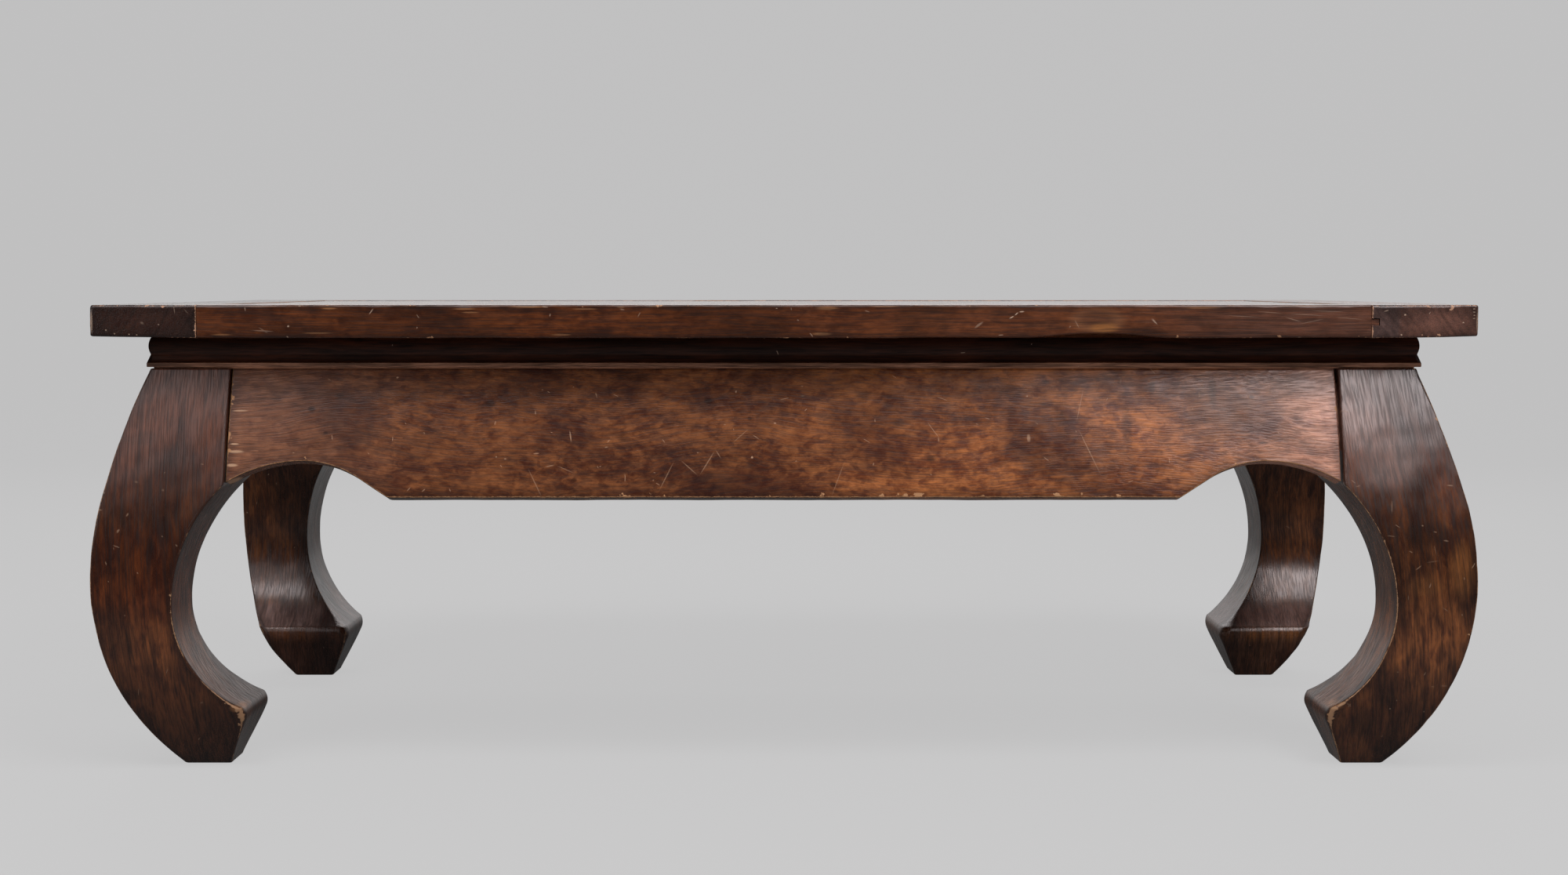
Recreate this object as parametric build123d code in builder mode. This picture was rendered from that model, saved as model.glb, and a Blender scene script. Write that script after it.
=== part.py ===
from build123d import *
import os
from math import asin, cos, degrees, radians, sin, sqrt, tan

# Low kang table: a framed top on a moulded waist, carried by four drum legs that turn in at the
# feet, with bulging aprons between them. Millimetres. X runs along the table, Y from the front
# (negative) to the back, Z up, and the origin is on the floor under the middle of the top.
# An inset is a distance inwards from the edge of the top.

# Overall size
top_length = 1200
top_depth = 600
table_height = 414

# Frame of the top
top_thickness = 29
end_rail_width = 92
long_rail_width = 82
frame_edge_radius = 2.2
groove_bottom = 396             # level with the undersides of the boards
groove_height = 6.2
groove_depth = 6.8
groove_play = 0.8               # lips and haunches are this much smaller than the groove
left_groove_stop = 12           # on the left the groove stops this far behind the edge
rail_tenon_length = 52
rail_tenon_width = 45
rail_tenon_inset = 10
rail_tenon_thickness = 10
worn_hollow_x = 275             # the front rail's lower edge is worn hollow here
worn_hollow_depth = 3.4
worn_hollow_length = 124
worn_hollow_reach = 30

# Boards that float in the frame, and the battens under them
board_drop = 0.5
board_tongue = 5
batten_spacing = 254
batten_width = 36
batten_depth = 24
dovetail_neck = 26
dovetail_top = 32
dovetail_height = 6
batten_tenon_width = 24
batten_tenon_length = 25
batten_tenon_height = 7
batten_tenon_bottom = 387

# Waist, from its bead under the top down to its lip over the apron
waist_top_inset = 41.7
waist_bead_inset = 39.2
waist_bead_height = 377
waist_neck_inset = 40.1
waist_neck_height = 370
waist_lip_inset = 37.7
waist_lip_height = 362
waist_seat_inset = 42.7
waist_back_inset = 54
shadow_gap = 1.4                # dark line between the waist's lip and the legs' shoulders
spline_inset = 46.5             # tongues of the waist, up into the top and down into the apron
spline_thickness = 5
spline_depth = 5

# Bulging outer face shared by legs and aprons
shoulder_height = 357.5
belly_height = 169
belly_out = 4                   # the belly stands this far outside the top's edge
belly_radius = 340
belly_sweep = 12.9              # degrees of the belly's arc above its widest point
shoulder_radius = 750
shin_radius = 257

# Inner face and foot of the legs
knee_inset = 111
knee_radius = 154
ankle_height = 149
ankle_inset = 66.7
instep_radius = 108
toe_rim_height = 56.4
toe_tip_inset = 121.5
toe_tip_height = 49
toe_under_inset = 120.5
toe_under_height = 43.8
foot_width = 41.2
arris_chamfer = 1.7

# Leg top, behind the waist
post_width = 50
leg_tenon_inset_x = 70
leg_tenon_inset_y = 79
leg_tenon_length = 24
leg_tenon_width = 32
leg_tenon_height = 20

# Aprons; the bracket is measured along the slope of the board
apron_set_back = 3.5            # behind the faces of the legs
apron_thickness = 19
apron_bottom = 246
bracket_rise = 32               # from the level stretch to the crown of the arch
bracket_leg_drop = 19.5         # from the crown down to the leg
arch_radius = 124
brace_radius = 90
brace_slope = 33                # degrees
apron_edge_radius = 1.2
tenon_set_back = 9
tenon_thickness = 9
tenon_length = 30
tenon_bottom = 286
tenon_top = 345

# Pegs
peg_radius = 3.2                # to the corners: the pegs are pared to eight sides
peg_side_count = 8
leg_peg_cover = 6               # wood left between a leg peg's end and the leg's face
long_side_peg_height = 325
short_side_peg_height = 297
frame_peg_length = 22
frame_peg_inset_y = 26
frame_peg_from_shoulder = 26

half_length = top_length / 2
half_depth = top_depth / 2
top_underside = table_height - top_thickness
board_top = table_height - board_drop
rail_shoulder_x = half_length - end_rail_width
rail_inner_y = half_depth - long_rail_width
lip = groove_depth - groove_play            # of the boards and haunches, into the groove

up = Vector(0, 0, 1)
front = Vector(0, -1, 0)
back = Vector(0, 1, 0)
left = Vector(-1, 0, 0)
right = Vector(1, 0, 0)

# Each side: the way it faces, how far out the top reaches there, half its run, its pegs' height
sides = {
    "front": (front, half_depth, half_length, long_side_peg_height),
    "back": (back, half_depth, half_length, long_side_peg_height),
    "left": (left, half_length, half_depth, short_side_peg_height),
    "right": (right, half_length, half_depth, short_side_peg_height),
}

os.makedirs("parts", exist_ok=True)


def save(piece, name):
    """Label a finished piece and write it as one STEP file."""
    piece.part.label = name
    export_step(piece.part, f"parts/{name}.step")


def section_plane(outward):
    """Upright plane through the table's middle, with x outward and y up."""
    return Plane(origin=(0, 0, 0), x_dir=outward, z_dir=outward.cross(up))


# ---------------------------------------------------------------------------------------------
# Bulging profile of legs and aprons
# ---------------------------------------------------------------------------------------------


def face_angle(set_back, height):
    """Degrees the face leans back at a height above the belly's arc, set back into the wood."""
    centre_height = belly_height - (shoulder_radius - belly_radius) * sin(radians(belly_sweep))
    return degrees(asin((height - centre_height) / (shoulder_radius - set_back)))


def face_inset(set_back, height):
    """Inset of the face at a height above the belly's arc, set back into the wood."""
    lean = cos(radians(face_angle(set_back, height)))
    joint = cos(radians(belly_sweep))
    belly_run = belly_radius * (1 - joint)
    shoulder_run = shoulder_radius * joint - (shoulder_radius - set_back) * lean
    return belly_run + shoulder_run - belly_out


def bulge_curve(reach, set_back):
    """Two tangent arcs from the belly up to the shoulder; returns their two ends."""
    belly = (reach + belly_out - set_back, belly_height)
    belly_arc = JernArc(belly, (0, 1), belly_radius - set_back, belly_sweep)
    sweep = face_angle(set_back, shoulder_height) - belly_sweep
    shoulder_arc = JernArc(belly_arc @ 1, belly_arc % 1, shoulder_radius - set_back, sweep)
    return belly_arc @ 0, shoulder_arc @ 1


def bulging_layer(reach, set_back, thickness, low, high):
    """Section of a layer of wood between two bulge curves, cut level below and above."""
    with BuildLine() as outline:
        outer_belly, outer_shoulder = bulge_curve(reach, set_back)
        inner_belly, inner_shoulder = bulge_curve(reach, set_back + thickness)
        Line(outer_belly, inner_belly)
        Line(outer_shoulder, inner_shoulder)
    make_face(outline.edges())
    with Locations((reach, (low + high) / 2)):
        Rectangle(reach, high - low, mode=Mode.INTERSECT)


def leg_template(reach):
    """Outline that a leg is sawn to, alike in both of its directions."""
    shin_sweep = degrees(asin(belly_height / shin_radius))
    instep_sweep = degrees(asin((ankle_height - toe_rim_height) / instep_radius))
    knee_rise = sqrt(knee_radius**2 - (knee_radius + ankle_inset - knee_inset) ** 2)
    knee_sweep = degrees(asin(knee_rise / knee_radius))
    ankle = (reach - ankle_inset, ankle_height)
    toe_under = (reach - toe_under_inset, toe_under_height)
    toe_tip = (reach - toe_tip_inset, toe_tip_height)
    inner_shoulder = (reach - knee_inset, shoulder_height)
    with BuildLine() as outline:
        belly, shoulder = bulge_curve(reach, 0)
        shin = JernArc(belly, (0, -1), shin_radius, -shin_sweep)
        sole = Line(shin @ 1, shin @ 1 - Vector(foot_width, 0))
        Line(sole @ 1, toe_under)
        instep = JernArc(ankle, (0, -1), instep_radius, -instep_sweep)
        ThreePointArc(toe_under, toe_tip, instep @ 1)
        knee = JernArc(ankle, (0, 1), knee_radius, knee_sweep)
        Line(knee @ 1, inner_shoulder)
        Line(inner_shoulder, shoulder)
    make_face(outline.edges())


# ---------------------------------------------------------------------------------------------
# Joinery shared by several pieces: each solid is added to one piece and cut from its mate
# ---------------------------------------------------------------------------------------------

# Tenons of the aprons: the middle layer of each bulging board, run on into the legs
apron_tenons = {}
for side_name, (outward, reach, run, _) in sides.items():
    with BuildPart() as tenon_layer:
        with BuildSketch(section_plane(outward)):
            bulging_layer(reach, tenon_set_back, tenon_thickness, tenon_bottom, tenon_top)
        extrude(amount=run - knee_inset + tenon_length, both=True)
    apron_tenons[side_name] = tenon_layer.part

# Tongue all round the top of the waist
with BuildPart() as waist_spline:
    with BuildSketch(Plane.XY.offset(top_underside)):
        inner_inset = spline_inset + spline_thickness
        Rectangle(top_length - 2 * spline_inset, top_depth - 2 * spline_inset)
        Rectangle(top_length - 2 * inner_inset, top_depth - 2 * inner_inset, mode=Mode.SUBTRACT)
    extrude(amount=spline_depth)

# Tenons on top of the legs
with BuildPart() as leg_top_tenons:
    with BuildSketch(Plane.XY.offset(top_underside)):
        tenon_spread_x = top_length - 2 * leg_tenon_inset_x
        tenon_spread_y = top_depth - 2 * leg_tenon_inset_y
        with GridLocations(tenon_spread_x, tenon_spread_y, 2, 2):
            Rectangle(leg_tenon_length, leg_tenon_width)
    extrude(amount=leg_tenon_height)

# Pegs up through the long rails' tenons
with BuildPart() as frame_pegs:
    with BuildSketch(Plane.XY.offset(top_underside)):
        peg_spread_x = 2 * (rail_shoulder_x + frame_peg_from_shoulder)
        peg_spread_y = 2 * (half_depth - frame_peg_inset_y)
        with GridLocations(peg_spread_x, peg_spread_y, 2, 2):
            RegularPolygon(peg_radius, peg_side_count)
    extrude(amount=frame_peg_length)
save(frame_pegs, "frame_pegs")

# Pegs through the aprons' tenons, driven from the legs' hidden inner faces
with BuildPart() as leg_pegs:
    for outward, reach, run, peg_height in sides.values():
        inner_face = outward * (reach - knee_inset) + up * peg_height
        with BuildSketch(Plane(origin=inner_face, x_dir=up.cross(outward), z_dir=outward)):
            with GridLocations(2 * (run - knee_inset) + tenon_length, 0, 2, 1):
                RegularPolygon(peg_radius, peg_side_count)
        extrude(amount=knee_inset - face_inset(leg_peg_cover, peg_height))
save(leg_pegs, "leg_pegs")

# ---------------------------------------------------------------------------------------------
# Long rails: tenoned into the end rails, grooved for the boards, mortised for the battens
# ---------------------------------------------------------------------------------------------

with BuildPart() as long_rail:
    with BuildSketch(Plane.XY.offset(top_underside)):
        with Locations((0, -half_depth + long_rail_width / 2)):
            Rectangle(2 * rail_shoulder_x, long_rail_width)
    extrude(amount=top_thickness)
    fillet(long_rail.edges().filter_by(Axis.X).group_by(Axis.Y)[0], frame_edge_radius)

    # Haunch along each shoulder, which fills the end rail's groove and shows on the right only
    with BuildSketch(Plane.XY.offset(groove_bottom)):
        with Locations((0, -half_depth + long_rail_width / 2)):
            Rectangle(2 * (rail_shoulder_x + lip), long_rail_width)
        with Locations((-half_length, -half_depth)):
            Rectangle(2 * end_rail_width, 2 * left_groove_stop, mode=Mode.SUBTRACT)
    extrude(amount=groove_height - groove_play)

    # Tenons
    with BuildSketch(Plane.XY.offset(groove_bottom + (groove_height - rail_tenon_thickness) / 2)):
        with Locations((0, -half_depth + rail_tenon_inset + rail_tenon_width / 2)):
            Rectangle(2 * (rail_shoulder_x + rail_tenon_length), rail_tenon_width)
    extrude(amount=rail_tenon_thickness)

    # Groove for the boards, cut through the haunches as well
    with BuildSketch(Plane.XY.offset(groove_bottom)):
        with Locations((0, -rail_inner_y)):
            Rectangle(top_length, 2 * groove_depth)
    extrude(amount=groove_height, mode=Mode.SUBTRACT)

    # Mortises for the battens
    with BuildSketch(Plane.XY.offset(batten_tenon_bottom)):
        with Locations((0, -rail_inner_y)):
            with GridLocations(batten_spacing, 0, 3, 1):
                Rectangle(batten_tenon_width, 2 * batten_tenon_length)
    extrude(amount=batten_tenon_height, mode=Mode.SUBTRACT)
    add(waist_spline.part, mode=Mode.SUBTRACT)
    add(frame_pegs.part, mode=Mode.SUBTRACT)

# The front rail has a stretch of its lower edge worn hollow
with BuildPart() as front_rail:
    add(long_rail.part)
    hollow_radius = (worn_hollow_length**2 / 4 + worn_hollow_depth**2) / (2 * worn_hollow_depth)
    hollow_centre = top_underside + worn_hollow_depth - hollow_radius
    with BuildSketch(Plane.XZ.offset(half_depth)):
        with Locations((worn_hollow_x, hollow_centre)):
            Circle(hollow_radius)
    extrude(amount=-worn_hollow_reach, mode=Mode.SUBTRACT)
save(front_rail, "front_rail")

with BuildPart() as back_rail:
    mirror(long_rail.part, about=Plane.XZ)
save(back_rail, "back_rail")

# ---------------------------------------------------------------------------------------------
# End rails: they run through to the front and the back, where their end grain shows
# ---------------------------------------------------------------------------------------------

for side_name, facing, groove_stop in (("left", -1, left_groove_stop), ("right", 1, 0)):
    with BuildPart() as end_rail:
        with BuildSketch(Plane.XY.offset(top_underside)):
            with Locations((facing * (half_length - end_rail_width / 2), 0)):
                Rectangle(end_rail_width, top_depth)
        extrude(amount=top_thickness)
        inner_edges = end_rail.edges().sort_by(Axis.X, reverse=facing < 0)[:4]
        fillet(end_rail.edges() - inner_edges, frame_edge_radius)

        # Groove for the boards and the long rails' haunches
        with BuildSketch(Plane.XY.offset(groove_bottom)):
            with Locations((facing * (rail_shoulder_x + groove_depth / 2), 0)):
                Rectangle(groove_depth, top_depth - 2 * groove_stop)
        extrude(amount=groove_height, mode=Mode.SUBTRACT)

        # Mortises for the long rails and the legs, and the waist's groove
        add(front_rail.part, mode=Mode.SUBTRACT)
        add(back_rail.part, mode=Mode.SUBTRACT)
        add(leg_top_tenons.part, mode=Mode.SUBTRACT)
        add(waist_spline.part, mode=Mode.SUBTRACT)
        add(frame_pegs.part, mode=Mode.SUBTRACT)
    save(end_rail, f"end_rail_{side_name}")

# ---------------------------------------------------------------------------------------------
# Battens: dovetailed up into the boards, with a stub tenon in each long rail
# ---------------------------------------------------------------------------------------------

batten_parts = []
for side_name, place in (("left", -1), ("middle", 0), ("right", 1)):
    batten_x = place * batten_spacing
    with BuildPart() as batten:
        with BuildSketch(Plane.XZ):
            with Locations((batten_x, groove_bottom - batten_depth / 2)):
                Rectangle(batten_width, batten_depth)
        extrude(amount=rail_inner_y, both=True)
        with BuildSketch(Plane.XZ):
            with BuildLine():
                Polyline(
                    (batten_x - dovetail_neck / 2, groove_bottom),
                    (batten_x - dovetail_top / 2, groove_bottom + dovetail_height),
                    (batten_x + dovetail_top / 2, groove_bottom + dovetail_height),
                    (batten_x + dovetail_neck / 2, groove_bottom),
                    close=True,
                )
            make_face()
        extrude(amount=rail_inner_y + lip, both=True)
        with BuildSketch(Plane.XY.offset(batten_tenon_bottom)):
            with Locations((batten_x, 0)):
                Rectangle(batten_tenon_width, 2 * (rail_inner_y + batten_tenon_length))
        extrude(amount=batten_tenon_height)
    save(batten, f"batten_{side_name}")
    batten_parts.append(batten.part)

# ---------------------------------------------------------------------------------------------
# Boards: tongued into each other and, by a lip along their lower side, into the frame
# ---------------------------------------------------------------------------------------------

board_width = 2 * rail_inner_y / 3
tongue_bottom = (groove_bottom + groove_height + board_top - board_tongue) / 2

for side_name, place in (("front", -1), ("middle", 0), ("back", 1)):
    with BuildPart() as board:
        with BuildSketch(Plane.XY.offset(groove_bottom)):
            with Locations((0, place * board_width)):
                Rectangle(2 * rail_shoulder_x, board_width)
        extrude(amount=board_top - groove_bottom)
        with BuildSketch(Plane.XY.offset(groove_bottom)):
            with Locations((0, place * (board_width + lip / 2))):
                Rectangle(2 * (rail_shoulder_x + lip), board_width + abs(place) * lip)
        extrude(amount=groove_height - groove_play)

        # A groove towards the front and a tongue towards the back, where there is a neighbour
        if place > -1:
            with BuildSketch(Plane.XY.offset(tongue_bottom)):
                with Locations((0, (place - 0.5) * board_width + board_tongue / 2)):
                    Rectangle(2 * rail_shoulder_x, board_tongue)
            extrude(amount=board_tongue, mode=Mode.SUBTRACT)
        if place < 1:
            with BuildSketch(Plane.XY.offset(tongue_bottom)):
                with Locations((0, (place + 0.5) * board_width + board_tongue / 2)):
                    Rectangle(2 * rail_shoulder_x, board_tongue)
            extrude(amount=board_tongue)
        for batten_part in batten_parts:
            add(batten_part, mode=Mode.SUBTRACT)
    save(board, f"panel_{side_name}")

# ---------------------------------------------------------------------------------------------
# Waist: a moulded strip on each side, mitred at the corners, tongued up into the top and down
# into the apron
# ---------------------------------------------------------------------------------------------


def waist_profile(reach):
    """Section of the waist: a bead under the top, a hollow neck and a lip over the apron."""
    step_height = shoulder_height + shadow_gap
    with BuildLine() as profile:
        bead = ThreePointArc(
            (reach - waist_top_inset, top_underside),
            (reach - waist_bead_inset, waist_bead_height),
            (reach - waist_neck_inset, waist_neck_height),
        )
        flare = TangentArc(bead @ 1, (reach - waist_lip_inset, waist_lip_height), tangent=bead % 1)
        Polyline(
            flare @ 1,
            (reach - waist_lip_inset, step_height),
            (reach - waist_seat_inset, step_height),
            (reach - waist_seat_inset, shoulder_height),
            (reach - waist_back_inset, shoulder_height),
            (reach - waist_back_inset, top_underside),
            bead @ 0,
        )
    make_face(profile.edges())
    with Locations((reach - spline_inset - spline_thickness / 2, top_underside)):
        Rectangle(spline_thickness, 2 * spline_depth)


for side_name, (outward, reach, run, _) in sides.items():
    with BuildPart() as waist:
        with BuildSketch(section_plane(outward)):
            waist_profile(reach)
        extrude(amount=run, both=True)

        # Mitres: both ends run in at half a right angle from the corners of the top
        with BuildSketch(Plane(origin=(0, 0, 0), x_dir=outward, z_dir=up)):
            with BuildLine():
                Polyline(
                    (reach, -run),
                    (reach, run),
                    (reach - end_rail_width, run - end_rail_width),
                    (reach - end_rail_width, end_rail_width - run),
                    close=True,
                )
            make_face()
        extrude(amount=table_height, mode=Mode.INTERSECT)

        # Tongue down into the apron
        with BuildSketch(section_plane(outward)):
            with Locations((reach - spline_inset - spline_thickness / 2, shoulder_height)):
                Rectangle(spline_thickness, 2 * spline_depth)
        extrude(amount=run - knee_inset, both=True)
    save(waist, f"waist_{side_name}")

# ---------------------------------------------------------------------------------------------
# Aprons: bulging boards with a bracket-shaped lower edge, sawn square to the slope of the board
# ---------------------------------------------------------------------------------------------


def bracket_outline(half_run):
    """Outline of an apron: a level stretch, a brace up to the arch, and the arch down to the leg."""
    arch_span = sqrt(arch_radius**2 - (arch_radius - bracket_leg_drop) ** 2)
    leg_end = (half_run, bracket_rise - bracket_leg_drop)
    crown = (half_run - arch_span, bracket_rise)
    top_end = (half_run, 2 * (shoulder_height - apron_bottom))
    with BuildLine() as outline:
        RadiusArc(leg_end, crown, -arch_radius)
        brace = JernArc(crown, (-1, 0), brace_radius, brace_slope)
        corner = (brace @ 1).X - (brace @ 1).Y / tan(radians(brace_slope))
        Polyline(brace @ 1, (corner, 0), (0, 0))
        Polyline(leg_end, top_end, (0, top_end[1]))
        mirror(about=Plane.YZ)
    make_face(outline.edges())


for side_name, (outward, reach, run, _) in sides.items():
    half_run = run - knee_inset
    with BuildPart() as apron:
        with BuildSketch(section_plane(outward)):
            bulging_layer(reach, apron_set_back, apron_thickness, belly_height, shoulder_height)
        extrude(amount=half_run, both=True)

        # Lower edge
        lean = radians(face_angle(apron_set_back, apron_bottom))
        foot_of_face = outward * (reach - face_inset(apron_set_back, apron_bottom)) + up * apron_bottom
        square_to_face = outward * cos(lean) + up * sin(lean)
        with BuildSketch(Plane(origin=foot_of_face, x_dir=up.cross(outward), z_dir=square_to_face)):
            bracket_outline(half_run)
        extrude(amount=3 * apron_thickness, both=True, mode=Mode.INTERSECT)
        outer_face = apron.faces().sort_by(lambda face: face.center().dot(outward))[-1]
        fillet(outer_face.edges().filter_by(lambda edge: edge.center().Z < tenon_bottom), apron_edge_radius)

        # Groove for the waist's tongue, and the tenons with their peg holes
        with BuildSketch(section_plane(outward)):
            with Locations((reach - spline_inset - spline_thickness / 2, shoulder_height)):
                Rectangle(spline_thickness, 2 * spline_depth)
        extrude(amount=half_run, both=True, mode=Mode.SUBTRACT)
        add(apron_tenons[side_name])
        add(leg_pegs.part, mode=Mode.SUBTRACT)
    save(apron, f"apron_{side_name}")

# ---------------------------------------------------------------------------------------------
# Legs: each is sawn to the same template from the front and from the end, so that it bulges and
# turns in both ways at once; behind the waist it runs on as a post, tenoned into the end rail
# ---------------------------------------------------------------------------------------------

for end_name, end_facing in (("left", left), ("right", right)):
    for side_name, side_facing in (("front", front), ("back", back)):
        with BuildPart() as leg:
            with BuildSketch(section_plane(end_facing)):
                leg_template(half_length)
            extrude(amount=top_depth, both=True)
            with BuildSketch(section_plane(side_facing)):
                leg_template(half_depth)
            extrude(amount=top_length, both=True, mode=Mode.INTERSECT)
            level_edges = leg.edges().filter_by(Axis.X) + leg.edges().filter_by(Axis.Y)
            chamfer(leg.edges() - level_edges, arris_chamfer)

            # Post behind the waist
            post_inset = waist_back_inset + post_width / 2
            post_place = end_facing * (half_length - post_inset) + side_facing * (half_depth - post_inset)
            with BuildSketch(Plane.XY.offset(shoulder_height)):
                with Locations(post_place):
                    Rectangle(post_width, post_width)
            extrude(amount=top_underside - shoulder_height)

            # Tenon into the end rail
            tenon_place = end_facing * (half_length - leg_tenon_inset_x)
            tenon_place += side_facing * (half_depth - leg_tenon_inset_y)
            with BuildSketch(Plane.XY.offset(top_underside)):
                with Locations(tenon_place):
                    Rectangle(leg_tenon_length, leg_tenon_width)
            extrude(amount=leg_tenon_height)

            # Mortises for the two aprons, and the holes of their pegs
            for tenon_part in apron_tenons.values():
                add(tenon_part, mode=Mode.SUBTRACT)
            add(leg_pegs.part, mode=Mode.SUBTRACT)
        save(leg, f"leg_{side_name}_{end_name}")
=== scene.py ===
from math import radians

import bpy
import numpy as np
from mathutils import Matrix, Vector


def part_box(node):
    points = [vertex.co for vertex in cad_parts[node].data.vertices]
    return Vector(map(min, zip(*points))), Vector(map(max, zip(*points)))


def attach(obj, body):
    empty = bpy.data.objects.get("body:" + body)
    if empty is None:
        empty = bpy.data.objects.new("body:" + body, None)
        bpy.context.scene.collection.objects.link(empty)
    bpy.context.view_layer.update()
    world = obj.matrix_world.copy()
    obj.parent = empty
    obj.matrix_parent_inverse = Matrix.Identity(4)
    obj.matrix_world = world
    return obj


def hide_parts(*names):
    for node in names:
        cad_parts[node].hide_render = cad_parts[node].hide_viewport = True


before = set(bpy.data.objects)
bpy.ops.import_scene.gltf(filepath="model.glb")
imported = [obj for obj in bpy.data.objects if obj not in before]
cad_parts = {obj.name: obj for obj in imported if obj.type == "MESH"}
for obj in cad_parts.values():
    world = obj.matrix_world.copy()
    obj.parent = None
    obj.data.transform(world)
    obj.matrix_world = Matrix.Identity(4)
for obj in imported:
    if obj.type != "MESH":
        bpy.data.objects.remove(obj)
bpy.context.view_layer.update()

scene = bpy.context.scene
scene.view_settings.view_transform = "Standard"

# ---------------------------------------------------------------------------------------------
# Studio: the table stands on a pale grey sweep, a floor that curves up into a wall far behind.
# Seven soft lamps light it: a long one over the front, two on the right, three that fill the
# left and one behind. The camera is just above the height of the top.
# ---------------------------------------------------------------------------------------------

camera_dip = 4.06
camera_data = bpy.data.cameras.new("camera")
camera_data.lens = 49.54
camera_data.sensor_width = 36
camera = bpy.data.objects.new("camera", camera_data)
camera.location = (0, -2.166, 0.4317)
camera.rotation_euler = (radians(90 - camera_dip), 0, 0)
scene.collection.objects.link(camera)
scene.camera = camera

world = bpy.data.worlds.new("dim studio")
world.use_nodes = True
world.node_tree.nodes["Background"].inputs["Color"].default_value = (0.07, 0.07, 0.072, 1)
scene.world = world

# Each lamp's name, place, the point that it faces, its width and height, and its watts
for name, place, aim, width, height, watts in (
    ("soft box over the front", (0.1, -1.15, 2.05), (0, 0, 0.2), 2.6, 0.6, 30),
    ("soft box on the right", (1.25, -2.15, 2.0), (0.4, -0.25, 0.3), 1.0, 0.9, 30),
    ("high box on the right", (1.3, -1.3, 2.4), (0.35, -0.2, 0.3), 1.2, 0.8, 7),
    ("high box on the left", (-1.3, -1.3, 2.4), (-0.35, -0.2, 0.3), 1.2, 0.8, 12),
    ("fill panel on the left", (-1.7, -2.2, 1.9), (-0.2, 0, 0.2), 1.4, 1.2, 9.5),
    ("low panel on the left", (-2.0, -1.6, 0.8), (-0.2, 0.1, 0.15), 0.8, 0.7, 6),
    ("soft box behind", (0, 2.3, 2.1), (0, 0, 0.3), 3.0, 1.0, 40),
):
    lamp_data = bpy.data.lights.new(name, "AREA")
    lamp_data.shape = "RECTANGLE"
    lamp_data.size = width
    lamp_data.size_y = height
    lamp_data.energy = watts
    lamp = bpy.data.objects.new(name, lamp_data)
    away = np.array(aim, float) - np.array(place, float)
    tilt = np.arctan2(away[2], np.hypot(away[0], away[1])) + radians(90)
    lamp.location = place
    lamp.rotation_euler = (tilt, 0, np.arctan2(-away[0], away[1]))
    scene.collection.objects.link(lamp)


class Tree:
    """A shader node tree, with a method for each kind of node that is used often. A method that
    isn't here is the Math node of that name, and gives its result."""

    def __init__(self, network):
        self.network = network

    def __getattr__(self, operation):
        return lambda *values: self.put("Math", dict(enumerate(values)), operation=operation.upper())

    def link(self, value, socket):
        self.network.links.new(value, socket)

    def put(self, kind, inputs, out=0, **settings):
        """Adds a node. An input is linked where it is given as a socket, and set where not. Gives
        one of its outputs, by number or name, or all of them for None."""
        node = self.network.nodes.new("ShaderNode" + kind)
        for name, value in settings.items():
            setattr(node, name, value)
        for name, value in inputs.items():
            if isinstance(value, bpy.types.NodeSocket):
                self.link(value, node.inputs[name])
            else:
                node.inputs[name].default_value = value
        return node.outputs if out is None else node.outputs[out]

    def use(self, group, inputs):
        """Places a group; gives its outputs."""
        return self.put("Group", inputs, None, node_tree=group.network)

    def vectors(self, operation, first, second=(0, 0, 0), out=0):
        """Result of a Vector Math node."""
        return self.put("VectorMath", {0: first, 1: second}, out, operation=operation)

    def shorten(self, vector, length):
        """The vector with its X divided by a length."""
        ratio = self.put("CombineXYZ", {0: self.divide(1.0, length), 1: 1.0, 2: 1.0})
        return self.vectors("MULTIPLY", vector, ratio)

    def stretch(self, vector, scales, place=(0, 0, 0), turn=(0, 0, 0)):
        """The vector with a pattern's place, its turn and its scales."""
        return self.put("Mapping", {"Vector": vector, "Location": place, "Rotation": turn, "Scale": scales})

    def mix(self, share, first, second, mode="MIX"):
        """Mix of two colours."""
        return self.put("Mix", {0: share, 6: first, 7: second}, 2, data_type="RGBA", blend_type=mode)

    def fade(self, value, start, end, low=0.0, high=1.0):
        """Smooth step of a value from low at start to high at end."""
        sockets = {"Value": value, "From Min": start, "From Max": end, "To Min": low, "To Max": high}
        return self.put("MapRange", sockets, interpolation_type="SMOOTHSTEP")

    def cloud(self, vector, scale, detail=2.0, roughness=0.5, distortion=0.0):
        """Noise texture."""
        sockets = {"Scale": scale, "Detail": detail, "Roughness": roughness, "Distortion": distortion}
        return self.put("TexNoise", {"Vector": vector, **sockets})

    def cells(self, vector, scale, dimensions="3D"):
        """Voronoi texture: its outputs, and three chances drawn for each cell."""
        cell = self.put("TexVoronoi", {"Vector": vector, "Scale": scale}, None, voronoi_dimensions=dimensions)
        return cell, self.put("SeparateColor", {"Color": cell["Color"]}, None)


def new_material(name, sockets):
    """A material, its tree, and its Principled node with these sockets set."""
    material = bpy.data.materials.new(name)
    material.use_nodes = True
    shader = material.node_tree.nodes["Principled BSDF"]
    for socket, value in sockets.items():
        shader.inputs[socket].default_value = value
    return material, Tree(material.node_tree), shader


sweep_grey = (0.45, 0.45, 0.452, 1)
seen_grey = (0.605, 0.602, 0.604, 1)
seen_share = 0.85
# What glossy surfaces see in place of the sweep: a glow with painted light and shade, given at
# each place from the front of the floor, through a painted shadow of the table, to the foot of the
# wall and up it, as the share of a full white
mirrored_steps = (
    (-1.2, 0.10), (-0.75, 0.20), (-0.45, 0.28), (-0.25, 0.13), (0.0, 0.07), (0.35, 0.10), (0.9, 0.18),
    (2.8, 0.28), (3.8, 0.45), (6.0, 0.78),
)
ramp_start, ramp_length = -2.0, 10.0

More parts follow.
